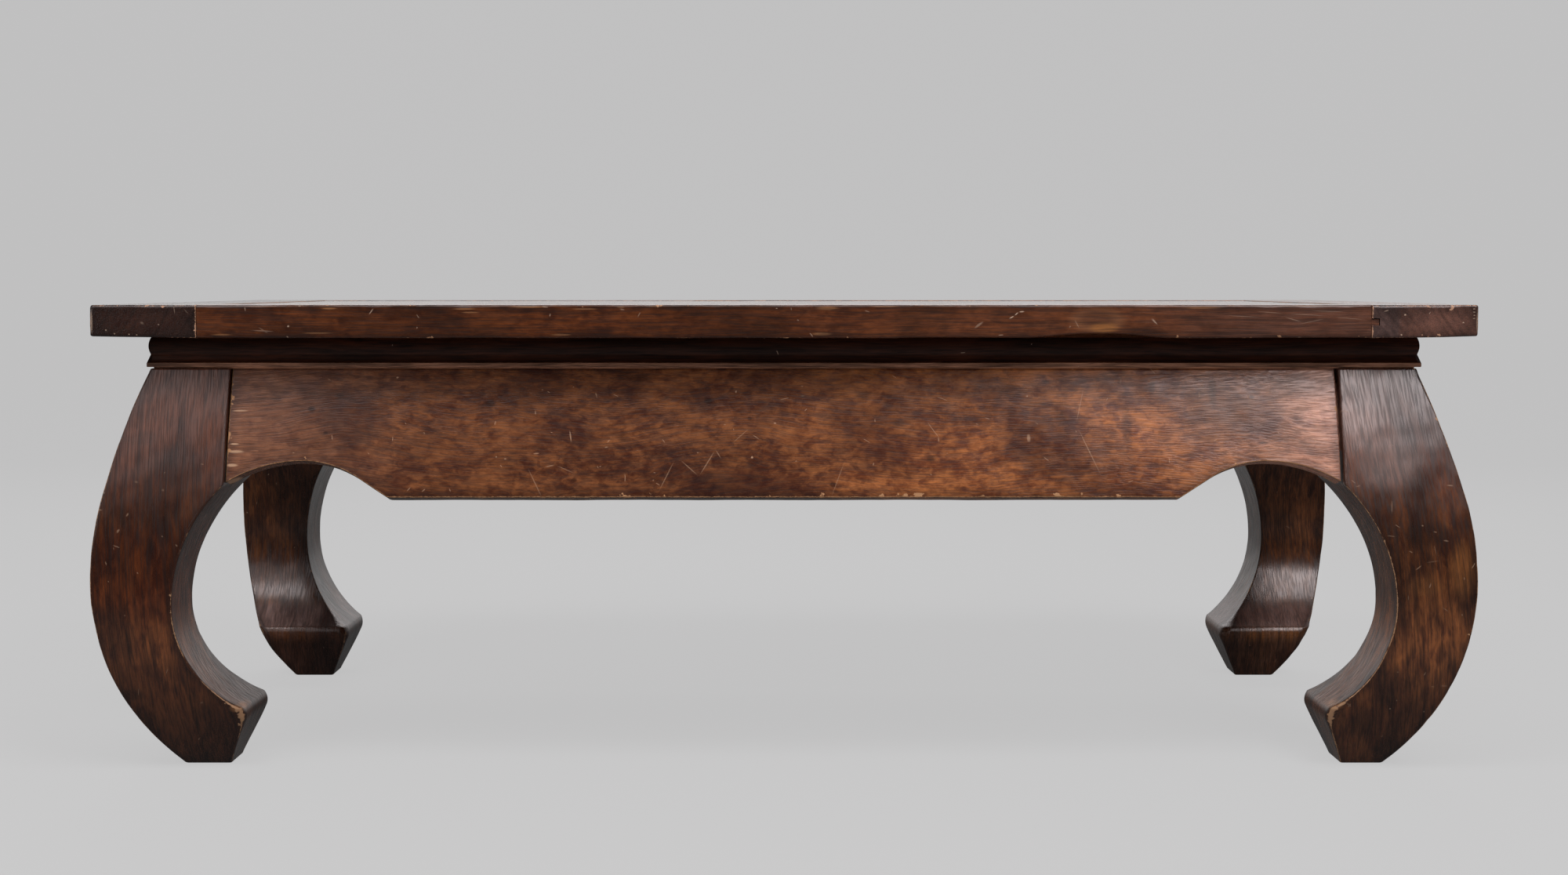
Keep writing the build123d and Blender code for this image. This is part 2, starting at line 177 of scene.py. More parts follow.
sweep_paint, tree, paint = new_material(
    "pale grey sweep", {"Base Color": sweep_grey, "Roughness": 0.9, "Specular IOR Level": 0.1}
)
spot = tree.put("SeparateXYZ", {0: tree.put("TexCoord", {}, "Object")}, None)
run = tree.multiply_add(spot[2], 2.0, spot[1])
run = tree.put("MapRange", {"Value": run, "From Min": ramp_start, "From Max": ramp_start + ramp_length})
mirrored = tree.put("ValToRGB", {0: run})
steps = mirrored.node.color_ramp.elements
for index, (place, share) in enumerate(mirrored_steps):
    step = steps[index] if index < 2 else steps.new(1.0)
    step.position = (place - ramp_start) / ramp_length
    step.color = (share, share, share, 1)
ray = tree.put("LightPath", {}, None)
tone = tree.mix(ray["Is Camera Ray"], mirrored, seen_grey)
glow = tree.put("Emission", {"Color": tone, "Strength": 1.0})
seen = tree.maximum(tree.multiply(ray["Is Camera Ray"], seen_share), ray["Is Glossy Ray"])
blend = tree.put("MixShader", {0: seen, 1: paint.outputs[0], 2: glow})
tree.link(blend, tree.network.nodes["Material Output"].inputs["Surface"])

wall_bend = 1.6
wall_foot = 3.0
bend = np.linspace(0, np.pi / 2, 24)
sweep_y = np.concatenate([[-5.0], wall_foot + wall_bend * np.sin(bend), [wall_foot + wall_bend]])
sweep_z = np.concatenate([[0.0], wall_bend * (1 - np.cos(bend)), [7.0]])
sweep_points = [(x, y, z) for x in (-9.0, 9.0) for y, z in zip(sweep_y, sweep_z)]
rows = len(sweep_y)
sweep_mesh = bpy.data.meshes.new("sweep")
sweep_mesh.from_pydata(sweep_points, [], [(i, i + rows, i + rows + 1, i + 1) for i in range(rows - 1)])
sweep_mesh.shade_smooth()
sweep_mesh.materials.append(sweep_paint)
sweep = bpy.data.objects.new("sweep", sweep_mesh)
scene.collection.objects.link(sweep)

# ---------------------------------------------------------------------------------------------
# Legs: drum legs of thick hardwood, each sawn to one outline from the front and from the end,
# so that it bulges and turns in both ways. The arrises are eased by hand and worn round at the
# toes. Each runs on behind the waist as a square post, tenoned into the end rail.
# ---------------------------------------------------------------------------------------------

half_length = 0.600
half_depth = 0.300
shoulder_height = 0.3575
belly_height = 0.169
belly_out = 0.004
belly_radius = 0.340
belly_lean = radians(12.9)
shoulder_radius = 0.750
shin_radius = 0.257
knee_inset = 0.111
knee_radius = 0.154
ankle_height = 0.149
ankle_inset = 0.0667
instep_radius = 0.108
foot_width = 0.0412
# Height and inset of three places round the toe: its lower and upper bend and the tip between
toe_heights = (0.0438, 0.0490, 0.0564)
toe_insets = (0.1205, 0.1215, 0.1191)
upright = np.array([0, 0, 1.0])


def sag(radius, off):
    """How far a circle has fallen away from its crown, at a distance off to the side of it."""
    return radius - np.sqrt(np.maximum(radius**2 - off**2, 0))


def eased_end(radius, gap):
    """How far a rounded end has drawn in, at a distance from it."""
    return sag(radius, np.maximum(radius - gap, 0))


def share_of(value, whole):
    """Share of the whole, not under 0 or over 1."""
    return np.clip(value / whole, 0, 1)


def hump(value, middle, width):
    """Bell curve, 1 at the middle and 1/e at the width from it."""
    return np.exp(-(((value - middle) / width) ** 2))


def bulge(height, set_back=0.0):
    """Inset of the bulging face at each height, set back into the wood: an arc of 340 mm above
    the belly, one of 750 mm above that, which goes on from it, and one of 257 mm down the shin."""
    rise = height - belly_height
    belly = belly_radius - np.sqrt((belly_radius - set_back) ** 2 - np.minimum(rise, 0.2) ** 2)
    centre_drop = (shoulder_radius - belly_radius) * np.sin(belly_lean)
    centre = belly_radius + (shoulder_radius - belly_radius) * np.cos(belly_lean)
    shoulder = centre - np.sqrt((shoulder_radius - set_back) ** 2 - (rise + centre_drop) ** 2)
    shin = shin_radius - np.sqrt((shin_radius - set_back) ** 2 - np.minimum(rise, 0) ** 2)
    joint = (belly_radius - set_back) * np.sin(belly_lean)
    return np.where(rise > joint, shoulder, np.where(rise > 0, belly, shin)) - belly_out


def leg_back(height):
    """Inset of a leg's inner face at each height: straight in under the toe, a round toe, an arc
    of 108 mm up the instep, one of 154 mm round the knee, and straight up to the shoulder."""
    sole = bulge(np.zeros(1))[0] + foot_width
    under = sole + (toe_insets[0] - sole) * height / toe_heights[0]
    toe = np.polyval(np.polyfit(toe_heights, toe_insets, 2), height)
    rise = np.clip(height - ankle_height, -instep_radius, knee_radius)
    instep = ankle_inset + sag(instep_radius, np.minimum(rise, 0))
    knee = ankle_inset + sag(knee_radius, np.maximum(rise, 0))
    upper = np.where(height < ankle_height, instep, np.minimum(knee, knee_inset))
    return np.where(height < toe_heights[0], under, np.where(height < toe_heights[2], toe, upper))


def waves(points, size, seed):
    """Smooth value from about -1 to 1 at each point: eighteen sine waves of about the given size,
    in directions and at starts drawn from the seed, added up and divided by six."""
    draw = np.random.default_rng(seed)
    ways = draw.normal(size=(18, 3))
    ways *= (2 * np.pi / size * draw.uniform(0.7, 1.4, 18) / np.linalg.norm(ways, axis=1))[:, None]
    return np.clip(np.sin(points @ ways.T + draw.uniform(0, 2 * np.pi, 18)).sum(-1) / 6, -1, 1)


def skin(rings):
    """Closed skin over a stack of rings, given as an array of ring, point on it and xyz. Four
    neighbouring points make a face, and the first and last ring close on the middle of theirs."""
    count, size = rings.shape[:2]
    points = np.concatenate([rings.reshape(-1, 3), rings[:1].mean(1), rings[-1:].mean(1)])
    start = np.arange(count - 1)[:, None] * size
    here = np.arange(size)
    following = (here + 1) % size
    corners = (start + here, start + following, start + following + size, start + here + size)
    quads = np.stack(corners, -1).reshape(-1, 4)
    last = (count - 1) * size
    foot = np.stack([following, here, np.full(size, count * size)], -1)
    head = np.stack([last + here, last + following, np.full(size, count * size + 1)], -1)
    return points, quads.tolist() + foot.tolist() + head.tolist()


def fit_piece(name, shells, material, angle=40):
    """Makes one object of closed shells of points and faces, each with its distances from the
    arris, which go into the attribute edge, and puts it in its CAD node's place. The attribute
    facing is 1 where the surface looks along X and 0 where it looks along Y."""
    count = 0
    all_faces = []
    for points, faces, _ in shells:
        all_faces += [[corner + count for corner in face] for face in faces]
        count += len(points)
    mesh = bpy.data.meshes.new(name)
    mesh.from_pydata(np.concatenate([shell[0] for shell in shells]).tolist(), [], all_faces)
    normals = np.empty(3 * count, np.float32)
    mesh.vertex_normals.foreach_get("vector", normals)
    normals = normals.reshape(-1, 3) ** 2
    facing = normals[:, 0] / (normals[:, 0] + normals[:, 1] + 1e-4)
    for attribute, values in (("edge", np.concatenate([shell[2] for shell in shells])), ("facing", facing)):
        mesh.attributes.new(attribute, "FLOAT", "POINT").data.foreach_set("value", values.astype(np.float32))
    mesh.shade_smooth()
    mesh.set_sharp_from_angle(angle=radians(angle))
    mesh.materials.append(material)
    piece = bpy.data.objects.new(name + "_seen", mesh)
    scene.collection.objects.link(piece)
    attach(piece, "root")
    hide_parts(name)


def new_group(name, inputs, outputs):
    """Starts a shader node group with these inputs, each with its value, and these outputs."""
    kinds = {float: "NodeSocketFloat", tuple: "NodeSocketVector"}
    group = bpy.data.node_groups.new(name, "ShaderNodeTree")
    for socket_name, value in inputs.items():
        socket = group.interface.new_socket(socket_name, in_out="INPUT", socket_type=kinds[type(value)])
        socket.default_value = value
    for socket_name in outputs:
        group.interface.new_socket(socket_name, in_out="OUTPUT", socket_type="NodeSocketFloat")
    ends = group.nodes.new("NodeGroupInput").outputs, group.nodes.new("NodeGroupOutput").inputs
    return Tree(group), *ends


# Growth rings, fibres and pores of solid wood, as a shade by which its colour is multiplied; the
# grain runs along the vector's X
full_turn = 2 * np.pi
sockets = {"Ring Spacing": 0.006, "Ring Warp": 0.02, "Rings": 0.3, "Fibres": 0.4, "Fibre Length": 1.0}
tree, given, result = new_group("sawn wood", {"Vector": (0.0, 0.0, 0.0), **sockets}, ("Shade", "Relief"))
sawn_wood = tree
drift = {"Vector": tree.stretch(given["Vector"], (0.45, 1, 1)), "Scale": 9, "Detail": 2}
drift = tree.vectors("SUBTRACT", tree.put("TexNoise", drift, "Color"), (0.5, 0.5, 0.5))
drift = tree.put("VectorMath", {0: drift, "Scale": given["Ring Warp"]}, operation="SCALE")
bent = tree.vectors("ADD", given["Vector"], drift)
out = tree.vectors("LENGTH", tree.vectors("MULTIPLY", bent, (0.02, 1, 1)), out="Value")
ring = tree.divide(out, given["Ring Spacing"])
wave = tree.sine(tree.multiply(ring, full_turn))
year = tree.put("TexNoise", {"W": ring, "Scale": 0.7, "Detail": 2}, noise_dimensions="1D")
late = tree.multiply(tree.fade(wave, -0.6, 1.0), tree.fade(year, 0.3, 0.75, 0.2, 1.0))
drawn = tree.shorten(bent, given["Fibre Length"])
broad = tree.cloud(tree.stretch(drawn, (12, 210, 210)), 1.0, 3, 0.6)
narrow = tree.fade(tree.cloud(tree.stretch(drawn, (28, 820, 820)), 1.0, 1, 0.5), 0.38, 0.66)
fibre = tree.multiply_add(tree.fade(broad, 0.34, 0.68), 0.3, tree.multiply(narrow, 0.7))
depth = tree.multiply_add(late, given["Rings"], tree.multiply(fibre, given["Fibres"]))
centre = tree.multiply_add(given["Rings"], 0.3, tree.multiply_add(given["Fibres"], 0.5, 1.0))
tree.link(tree.subtract(centre, depth), result["Shade"])
tree.link(tree.subtract(1.0, narrow), result["Relief"])

# Figure of the wood and age of its stain: paler patches, clouds gone dark and small dark knots
sockets = {"Vector": (0.0, 0.0, 0.0), "Size": 0.04, "Length": 1.6}
tree, given, result = new_group("figure and age", sockets, ("Pale Patch", "Dark Cloud", "Knot"))
figure = tree
scale = tree.divide(1.0, given["Size"])
long_way = tree.shorten(given["Vector"], given["Length"])
flame = tree.cloud(long_way, tree.multiply(scale, 1.5), 6, 0.66, 0.35)
fleck = tree.cloud(long_way, tree.multiply(scale, 5.5), 3, 0.6, 0.6)
flame = tree.multiply_add(tree.subtract(fleck, 0.5), 0.8, flame)
tree.link(tree.fade(flame, 0.25, 0.78), result["Pale Patch"])
elsewhere = tree.stretch(long_way, (1, 1, 1), (3.1, 1.7, 2.3))
age = tree.cloud(elsewhere, tree.multiply(scale, 0.5), 5, 0.6, 0.3)
tree.link(tree.fade(age, 0.42, 0.68), result["Dark Cloud"])
cell, chance = tree.cells(long_way, tree.multiply(scale, 0.8))
spot = tree.multiply_add(tree.cloud(long_way, tree.multiply(scale, 5.0), 2), 0.3, cell["Distance"])
tree.link(tree.multiply(tree.fade(spot, 0.34, 0.20), tree.less_than(chance[0], 0.22)), result["Knot"])

# Bare wood where the finish is rubbed off: a thin broken line on the arris with chips along it
sockets = {"Vector": (0.0, 0.0, 0.0), "Distance": 0.01, "Width": 0.0014, "Amount": 0.5}
tree, given, result = new_group("rubbed arris", sockets, ("Rub", "Dirt"))
rubbed_arris = tree
near = tree.divide(given["Distance"], given["Width"])
ragged = tree.cloud(given["Vector"], 420, 4, 0.7)
more = tree.subtract(given["Amount"], 0.5)
patchy = tree.add(tree.cloud(given["Vector"], 22, 4, 0.65), more)
chip = tree.add(tree.cloud(given["Vector"], 95, 3, 0.6), tree.multiply(more, 0.3))
extent = tree.multiply(tree.fade(patchy, 0.40, 0.62), tree.multiply_add(ragged, 1.6, -0.3))
extent = tree.multiply_add(tree.fade(chip, 0.66, 0.76), 1.8, extent)
tree.link(tree.fade(tree.subtract(extent, near), 0.0, 0.35), result["Rub"])
tree.link(tree.fade(near, 6.0, 0.8), result["Dirt"])

# Scratches, each a short straight line in a cell of its own, turned at random, and pale specks.
# The sheared sheet that the scratches lie on isn't edge-on to any face of the table.
sockets = {"Vector": (0.0, 0.0, 0.0), "Scratches": 0.5, "Specks": 0.5}
tree, given, result = new_group("fine marks", sockets, ("Scratch", "Speck"))
fine_marks = tree
across = tree.vectors("DOT_PRODUCT", given["Vector"], (1, 0.73, 0), "Value")
upward = tree.vectors("DOT_PRODUCT", given["Vector"], (0, 0.41, 1), "Value")
sheet = tree.put("CombineXYZ", {0: across, 1: upward})
lines = []
for size, longest in ((26, 0.009), (48, 0.004)):
    cell, chance = tree.cells(sheet, size, "2D")
    away = tree.vectors("SUBTRACT", sheet, cell["Position"])
    turn = {"Vector": away, "Angle": tree.multiply(chance[0], full_turn)}
    away = tree.put("SeparateXYZ", {0: tree.put("VectorRotate", turn, rotation_type="Z_AXIS")}, None)
    reach = tree.multiply_add(tree.power(chance[1], 3.0), longest, 0.0009)
    wobble = tree.multiply_add(tree.cloud(sheet, 150, 1), 0.0012, -0.0006)
    end_share = tree.absolute(tree.divide(away[0], reach))
    side_share = tree.absolute(tree.divide(tree.add(away[1], wobble), 0.00042))
    line = tree.multiply(tree.fade(end_share, 1.0, 0.4), tree.fade(side_share, 1.0, 0.3))
    picked = tree.less_than(chance[2], tree.multiply(given["Scratches"], 0.5))
    lines.append(tree.multiply(line, picked))
tree.link(tree.maximum(*lines), result["Scratch"])
cell, chance = tree.cells(given["Vector"], 70)
dot = tree.multiply_add(tree.cloud(given["Vector"], 600, 2), 0.12, cell["Distance"])
picked = tree.less_than(chance[0], tree.multiply(given["Specks"], 0.14))
tree.link(tree.multiply(picked, tree.fade(dot, 0.15, 0.09)), result["Speck"])

# How far a point of a block is from its nearest arris: of its distances from the three pairs of
# sides, the middle one
sockets = {"Vector": (0.0, 0.0, 0.0), "Middle": (0.0, 0.0, 0.0), "Half": (1.0, 1.0, 1.0)}
tree, given, result = new_group("arris distance", sockets, ("Distance",))
arris_distance = tree
offset = tree.vectors("ABSOLUTE", tree.vectors("SUBTRACT", given["Vector"], given["Middle"]))
x, y, z = tree.put("SeparateXYZ", {0: tree.vectors("SUBTRACT", given["Half"], offset)}, None)
middle = tree.maximum(tree.minimum(x, y), tree.minimum(tree.maximum(x, y), z))
tree.link(tree.maximum(middle, 0.0), result["Distance"])


def drawn_marks(tree, vector, face, marks):
    """Strongest of a list of placed marks on a face that looks along Y, each with its place along
    X and Z in millimetres, its turn in degrees, its half length and half width in millimetres, and
    its strength: full in the middle of a stretched and turned ball, and nothing past its surface."""
    strongest = None
    for x, z, turn, half_length, half_width, strength in marks:
        place = (0.001 * x, face, 0.001 * z)
        size = (0.001 * half_length, 0.06, 0.0008 * half_width)
        sockets = {"Vector": vector, "Location": place, "Rotation": (0, radians(-turn), 0), "Scale": size}
        away = tree.vectors("LENGTH", tree.put("Mapping", sockets, vector_type="TEXTURE"), out="Value")
        mark = tree.fade(away, 1.0, 0.4, 0.0, 0.85 * strength)
        strongest = mark if strongest is None else tree.maximum(strongest, mark)
    return strongest


def lacquered_wood(name, grain_turn, grain_place, pale, mid, gone_dark, bare, scar=(0.42, 0.29, 0.21, 1),
                   block=None, rings=(0.008, 0.03, 0.3), fibres=0.4, fibre_length=1.0, grain_relief=1.0,
                   patch_size=0.04, patch_length=1.6, patch=0.8, cloud_share=0.7, knots=0.5,
                   sawn_through=False, veils=(), tints=(), rub_width=0.0014, rub=0.5, scratches=0.5,
                   specks=0.5, gloss=0.30, specular=0.5, face=-0.3, stains_and_sheens=(), pale_marks=(), dark_marks=()):
    """Old brown lacquer over hardwood: figured wood under a stained finish gone dark in clouds,
    rubbed to bare wood along the arrises, with scratches, specks and placed marks. A veil blends a
    colour in along one axis, more where the wood is pale, a tint multiplies it along one, and a
    spot colour blends one in at placed spots. Most are colours that the wood and its finish have; a
    few are painted highlights, sheens and reflections. The arris of a block is worked out from its
    low and high corner."""
    sockets = {"Specular IOR Level": specular, "Specular Tint": (1.0, 0.90, 0.90, 1)}
    material, tree, shader = new_material(name, sockets)
    place = tree.put("TexCoord", {}, "Object")
    along = tree.stretch(place, (1, 1, 1), grain_place, grain_turn)
    if sawn_through:
        # Long fibres on a curved face too: the wood is stretched along the way the face looks
        facing = tree.put("Attribute", {}, "Fac", attribute_name="facing")
        ratio = {1: tree.multiply_add(facing, 0.85, 0.15), 2: tree.multiply_add(facing, -0.85, 1.0)}
        along = tree.vectors("MULTIPLY", along, tree.put("CombineXYZ", {0: 1.0, **ratio}))
    sockets = {"Ring Spacing": rings[0], "Ring Warp": rings[1], "Rings": rings[2]}
    wood = tree.use(sawn_wood, {"Vector": along, "Fibres": fibres, "Fibre Length": fibre_length, **sockets})
    grown = tree.use(figure, {"Vector": along, "Size": patch_size, "Length": patch_length})
    if block is None:
        distance = tree.put("Attribute", {}, "Fac", attribute_name="edge")
    else:
        low, high = np.array(block)
        sockets = {"Middle": tuple((low + high) / 2), "Half": tuple((high - low) / 2)}
        distance = tree.use(arris_distance, {"Vector": place, **sockets})["Distance"]
    arris = tree.use(rubbed_arris, {"Vector": place, "Distance": distance, "Width": rub_width, "Amount": rub})
    marks = tree.use(fine_marks, {"Vector": place, "Scratches": scratches, "Specks": specks})
    color = tree.mix(tree.multiply(grown["Pale Patch"], patch), mid, pale)
    axes = tree.put("SeparateXYZ", {0: place}, None)
    uneven = tree.multiply_add(grown["Pale Patch"], 0.6, 0.6)
    for axis, start, end, veil, share in veils:
        there = tree.multiply(tree.fade(axes[axis], start, end, 0.0, share), uneven)
        color = tree.mix(there, color, veil)
    for axis, start, end, tint in tints:
        color = tree.mix(tree.fade(axes[axis], start, end), color, tint, "MULTIPLY")
    color = tree.mix(tree.multiply(grown["Dark Cloud"], cloud_share), color, gone_dark)
    # Each spot colour is the finish's own, except the front right leg's pale purple-grey one, which is a
    # painted sheen
    for spot_colour, spots in stains_and_sheens:
        color = tree.mix(drawn_marks(tree, place, face, spots), color, spot_colour)
    color = tree.mix(1.0, color, wood["Shade"], "MULTIPLY")
    dark = tree.multiply(grown["Knot"], knots)
    if dark_marks:
        dark = tree.maximum(dark, drawn_marks(tree, place, face, dark_marks))
    dark = tree.maximum(dark, tree.multiply(arris["Dirt"], 0.4))
    color = tree.mix(dark, color, (*(0.5 * part for part in gone_dark[:3]), 1))
    light = tree.maximum(tree.multiply(marks["Scratch"], 0.6), tree.multiply(marks["Speck"], 0.8))
    if pale_marks:
        light = tree.maximum(light, drawn_marks(tree, place, face, pale_marks))
    color = tree.mix(light, color, scar)
    tree.link(tree.mix(arris["Rub"], color, bare), shader.inputs["Base Color"])
    rough = tree.multiply_add(wood["Relief"], -0.12, gloss + 0.07)
    rough = tree.multiply_add(tree.maximum(light, arris["Rub"]), 0.25, rough)
    tree.link(rough, shader.inputs["Roughness"])
    relief = tree.multiply_add(arris["Rub"], -0.3, tree.multiply(wood["Relief"], grain_relief))
    bump = tree.put("Bump", {"Height": relief, "Strength": 0.4, "Distance": 0.00013})
    tree.link(bump, shader.inputs["Normal"])
    return material


# A ring of points round a square section: four quarter rounds with a straight run after each.
# corner_share is each point's share of the four corners, lean the share of the half widths at
# which its centre lies, and way the way it faces.
signs = np.array([(1, 1), (-1, 1), (-1, -1), (1, -1)], float)
quarter = np.linspace(0, np.pi / 2, 8)
straight = 0.5 - 0.5 * np.cos(np.linspace(0, np.pi, 36)[1:-1])
turned = np.append(quarter, np.full(len(straight), np.pi / 2))
onward = np.append(np.zeros(len(quarter)), straight)[:, None]
shares = [np.eye(4)[corner] * (1 - onward) + np.eye(4)[(corner + 1) % 4] * onward for corner in range(4)]
corner_share = np.concatenate(shares)
lean_x, lean_y = (corner_share @ signs).T
angles = np.concatenate([turned + corner * np.pi / 2 for corner in range(4)])
way_x, way_y = np.cos(angles), np.sin(angles)
off_arris = np.tile(abs(turned - np.pi / 4), 4)

sole_easing, top_easing = 0.0014, 0.0009
leg_rounding = 0.0016
knuckle_rounding, knuckle_height, knuckle_width = 0.0085, 0.051, 0.013
apron_foot_height = 0.255
toe_tip_height = 0.054
leg_heights = np.unique(np.concatenate([
    0.003 * (1 - np.cos(np.linspace(0, np.pi / 2, 7))), np.linspace(0.003, 0.042, 16),
    np.linspace(0.042, 0.062, 27), np.linspace(0.062, 0.3555, 130),
    shoulder_height - 0.002 * (1 - np.sin(np.linspace(0, np.pi / 2, 5))),
]))


def carve_leg(end, side, seed, toe_trim, shoulder_trim, toe_bare):
    """A leg's skin: at each height a square of its own size with rounded corners, between the
    bulging outer faces and the curved inner faces, which are alike along X and along Y."""
    height = leg_heights
    drawn_in = eased_end(sole_easing, height) + eased_end(top_easing, shoulder_height - height)
    outer = bulge(height) + drawn_in
    inner = leg_back(height) - drawn_in
    near_x = end * (half_length - outer - shoulder_trim * hump(height, 0.31, 0.06))
    far_x = end * (half_length - inner + toe_trim * share_of(0.11 - height, 0.06))
    near_y, far_y = side * (half_depth - outer), side * (half_depth - inner)
    middle_x, middle_y = (near_x + far_x) / 2, (near_y + far_y) / 2
    half_x, half_y = abs(near_x - far_x) / 2, abs(near_y - far_y) / 2
    line = height[:, None] * upright
    rounding = np.zeros((len(height), 4))
    for corner, (sign_x, sign_y) in enumerate(signs):
        rounding[:, corner] = leg_rounding + 0.0011 * np.maximum(waves(line, 0.05, seed + corner), 0)
        rounding[:, corner] += 0.0012 * np.maximum(waves(line, 0.014, seed + 4 + corner) - 0.35, 0)
        if sign_x != end or sign_y != side:
            rounding[:, corner] += knuckle_rounding * hump(height, knuckle_height, knuckle_width)
    radius = rounding @ corner_share.T
    straight_x, straight_y = half_x[:, None] - radius, half_y[:, None] - radius
    x = middle_x[:, None] + lean_x * straight_x + radius * way_x
    y = middle_y[:, None] + lean_y * straight_y + radius * way_y
    z = np.repeat(height[:, None], len(lean_x), 1)
    rings = np.stack([x, y, z], -1)
    worked = 0.0002 * (1 - waves(rings, 0.06, seed + 9)) + 0.0001 * (1 - waves(rings, 0.02, seed + 10))
    worked *= share_of(np.minimum(z, shoulder_height - z), 0.004)
    rings[..., 0] -= way_x * worked
    rings[..., 1] -= way_y * worked
    # The arris is bare at the toe, and not where the apron covers it
    inner_side = np.maximum(np.sign(-end * lean_x), np.sign(-side * lean_y)).clip(0)
    covered = share_of(z - apron_foot_height, 0.01) * inner_side
    edge = (1 - abs(lean_x)) * straight_x + (1 - abs(lean_y)) * straight_y
    edge += np.minimum(radius, 0.004) * off_arris + 0.004 * covered
    toe_corner = hump(z, toe_tip_height, 0.011) * (end * lean_x < 0) * (side * lean_y > 0.999)
    edge -= toe_bare * toe_corner * (0.7 + 0.9 * waves(rings, 0.004, seed + 12))
    # The sole and the top are closed by smaller and smaller rings
    centre = np.stack([middle_x[[0, -1]], middle_y[[0, -1]], height[[0, -1]]], -1)
    shrink = np.array([0.35, 0.7, 0.9, 0.97])[:, None, None]
    foot = centre[0] + (rings[0] - centre[0]) * shrink
    head = centre[1] + (rings[-1] - centre[1]) * shrink[::-1]
    flat = np.repeat(0.03 * (1 - shrink[:, 0]), len(lean_x), 1)
    points, faces = skin(np.concatenate([foot, rings, head]))
    return points, faces, np.concatenate([flat.ravel(), edge.ravel(), flat[::-1].ravel(), [0.03, 0.03]])


def square_block(low, high, bevel):
    """A plain block's skin with flat bevels: four rings of four points, from low to high in Z."""
    low, high = np.array(low, float), np.array(high, float)
    middle, half = (low + high)[:2] / 2, (high - low)[:2] / 2
    inner, outer = middle + signs * (half - bevel), middle + signs * half
    rings = [(inner, low[2]), (outer, low[2] + bevel), (outer, high[2] - bevel), (inner, high[2])]
    points, faces = skin(np.array([np.column_stack([ring, np.full(4, level)]) for ring, level in rings]))
    return points, faces, np.full(len(points), 0.02)


leg_scars = {
    "leg_front_left": (
        (-595.7, 235.9, -8, 2.5, 1, 0.7), (-571.4, 231.7, 57, 2.2, 1.2, 0.5),
        (-579, 217.9, 52, 2.3, 1.4, 0.55), (-589.4, 189.9, -75, 2.4, 0.7, 0.6),
        (-561.9, 181.4, -42, 1.2, 0.9, 0.6), (-587.4, 174, -41, 1, 0.8, 0.5),
        (-568.8, 73.5, 78, 4.8, 0.7, 0.35), (-604.4, 163.7, -2, 2.7, 1, 0.6),
        (-528.1, 205.3, -46, 1.6, 1, 0.5), (-541.3, 252.8, -19, 1.5, 1.5, 0.3),
        (-565, 259.8, -17, 2, 1.5, 0.3), (-540.7, 213.1, -37, 1.1, 0.8, 0.5),
        (-574.2, 144, -14, 0.9, 0.7, 0.5), (-582.8, 202.7, -82, 1.4, 0.6, 0.4),
    ),
    "leg_front_right": (
        (580.9, 256.7, -4, 3.4, 0.9, 0.7), (528.1, 213.3, -6, 4.6, 0.7, 0.4),
        (551.6, 185.9, 37, 4.2, 0.8, 0.55), (561.9, 170.4, 72, 2.8, 1, 0.55),
        (575.8, 149.4, -35, 5, 0.6, 0.4), (566.1, 201.2, -76, 5.3, 0.5, 0.35),
        (564, 191.2, 8, 6.9, 0.5, 0.35), (529.2, 238.6, 87, 6.9, 1.1, 0.3), (536.4, 57, -22, 1, 1, 0.9),
        (541, 65.2, -19, 0.8, 0.8, 0.7), (575.6, 209.3, -11, 2.9, 1.1, 0.5),
        (555.4, 222.3, -11, 1.2, 1, 0.6), (499.6, 60.8, -39, 3.7, 1.2, 0.35),
        (499.9, 60.3, 56, 2.8, 1, 0.35), (538.6, 92.3, -11, 1.2, 0.8, 0.6), (571, 78.5, -3, 2.3, 0.7, 0.5),
        (580.8, 79.1, 0, 4, 0.7, 0.5), (543.2, 159.8, -84, 2.9, 0.7, 0.4), (590.7, 144.5, -60, 1, 1, 0.6),
    ),
}
dark_stain = (0.010, 0.0035, 0.002, 1)
toe_gold = (0.26, 0.110, 0.040, 1)
leg_stains_and_sheen = {
    "leg_front_left": (
        (dark_stain, (
            (-579, 131.7, 0, 17.7, 40.9, 0.45), (-575.5, 70.5, 0, 16.4, 9.5, 0.6),
            (-560.4, 297.2, 0, 20.5, 10.9, 0.4),
        )),
        (toe_gold, (
            (-484.1, 56.6, 0, 8.9, 6.1, 0.7), (-481, 59, -35, 5.4, 2.2, 0.9),
            (-476.6, 51.7, -79, 6.4, 2, 0.9),
        )),
    ),
    "leg_front_right": (
        (dark_stain, (
            (558.7, 214.7, 0, 27.3, 19.1, 0.65), (514.1, 41.2, 0, 23.2, 27.3, 0.6),
            (533.9, 83.1, 0, 27.3, 20.5, 0.35),
        )),
        # Pale purple-grey patches below the shoulder: a painted sheen, which carries the sheen of the
        # shoulder further down the leg
        ((0.175, 0.112, 0.098, 1), ((528, 278, 0, 35.4, 40.9, 0.55), (505.5, 307.4, 0, 20.5, 40.9, 0.35))),
        ((0.150, 0.058, 0.017, 1), ((590.3, 183.6, 0, 16.4, 40.9, 0.42), (557.6, 169.8, 0, 23.2, 15, 0.3))),
        (toe_gold, (
            (484, 60.8, 0, 13.6, 9.5, 0.7), (479.3, 58, 62, 7.1, 2.2, 0.95), (487, 66.7, 31, 7.5, 2.3, 0.95),
        )),
    ),
}
shoulder_veil = (0.066, 0.021, 0.015, 1)
leg_veils = {
    -1: ((2, 0.13, 0.03, (0.016, 0.006, 0.004, 1), 0.65), (2, 0.19, 0.29, shoulder_veil, 0.55)),
    # On the back legs, the greyish band from 86 mm down over the shin is a painted reflection of the pale
    # floor in the lacquer there
    1: (
        (2, 0.19, 0.29, shoulder_veil, 0.5), (2, 0.086, 0.072, (0.140, 0.080, 0.070, 1), 0.80),
        (2, 0.0580, 0.0545, (0.075, 0.025, 0.008, 1), 1.0), (2, 0.048, 0.036, (0.016, 0.005, 0.003, 1), 0.8),
    ),
}
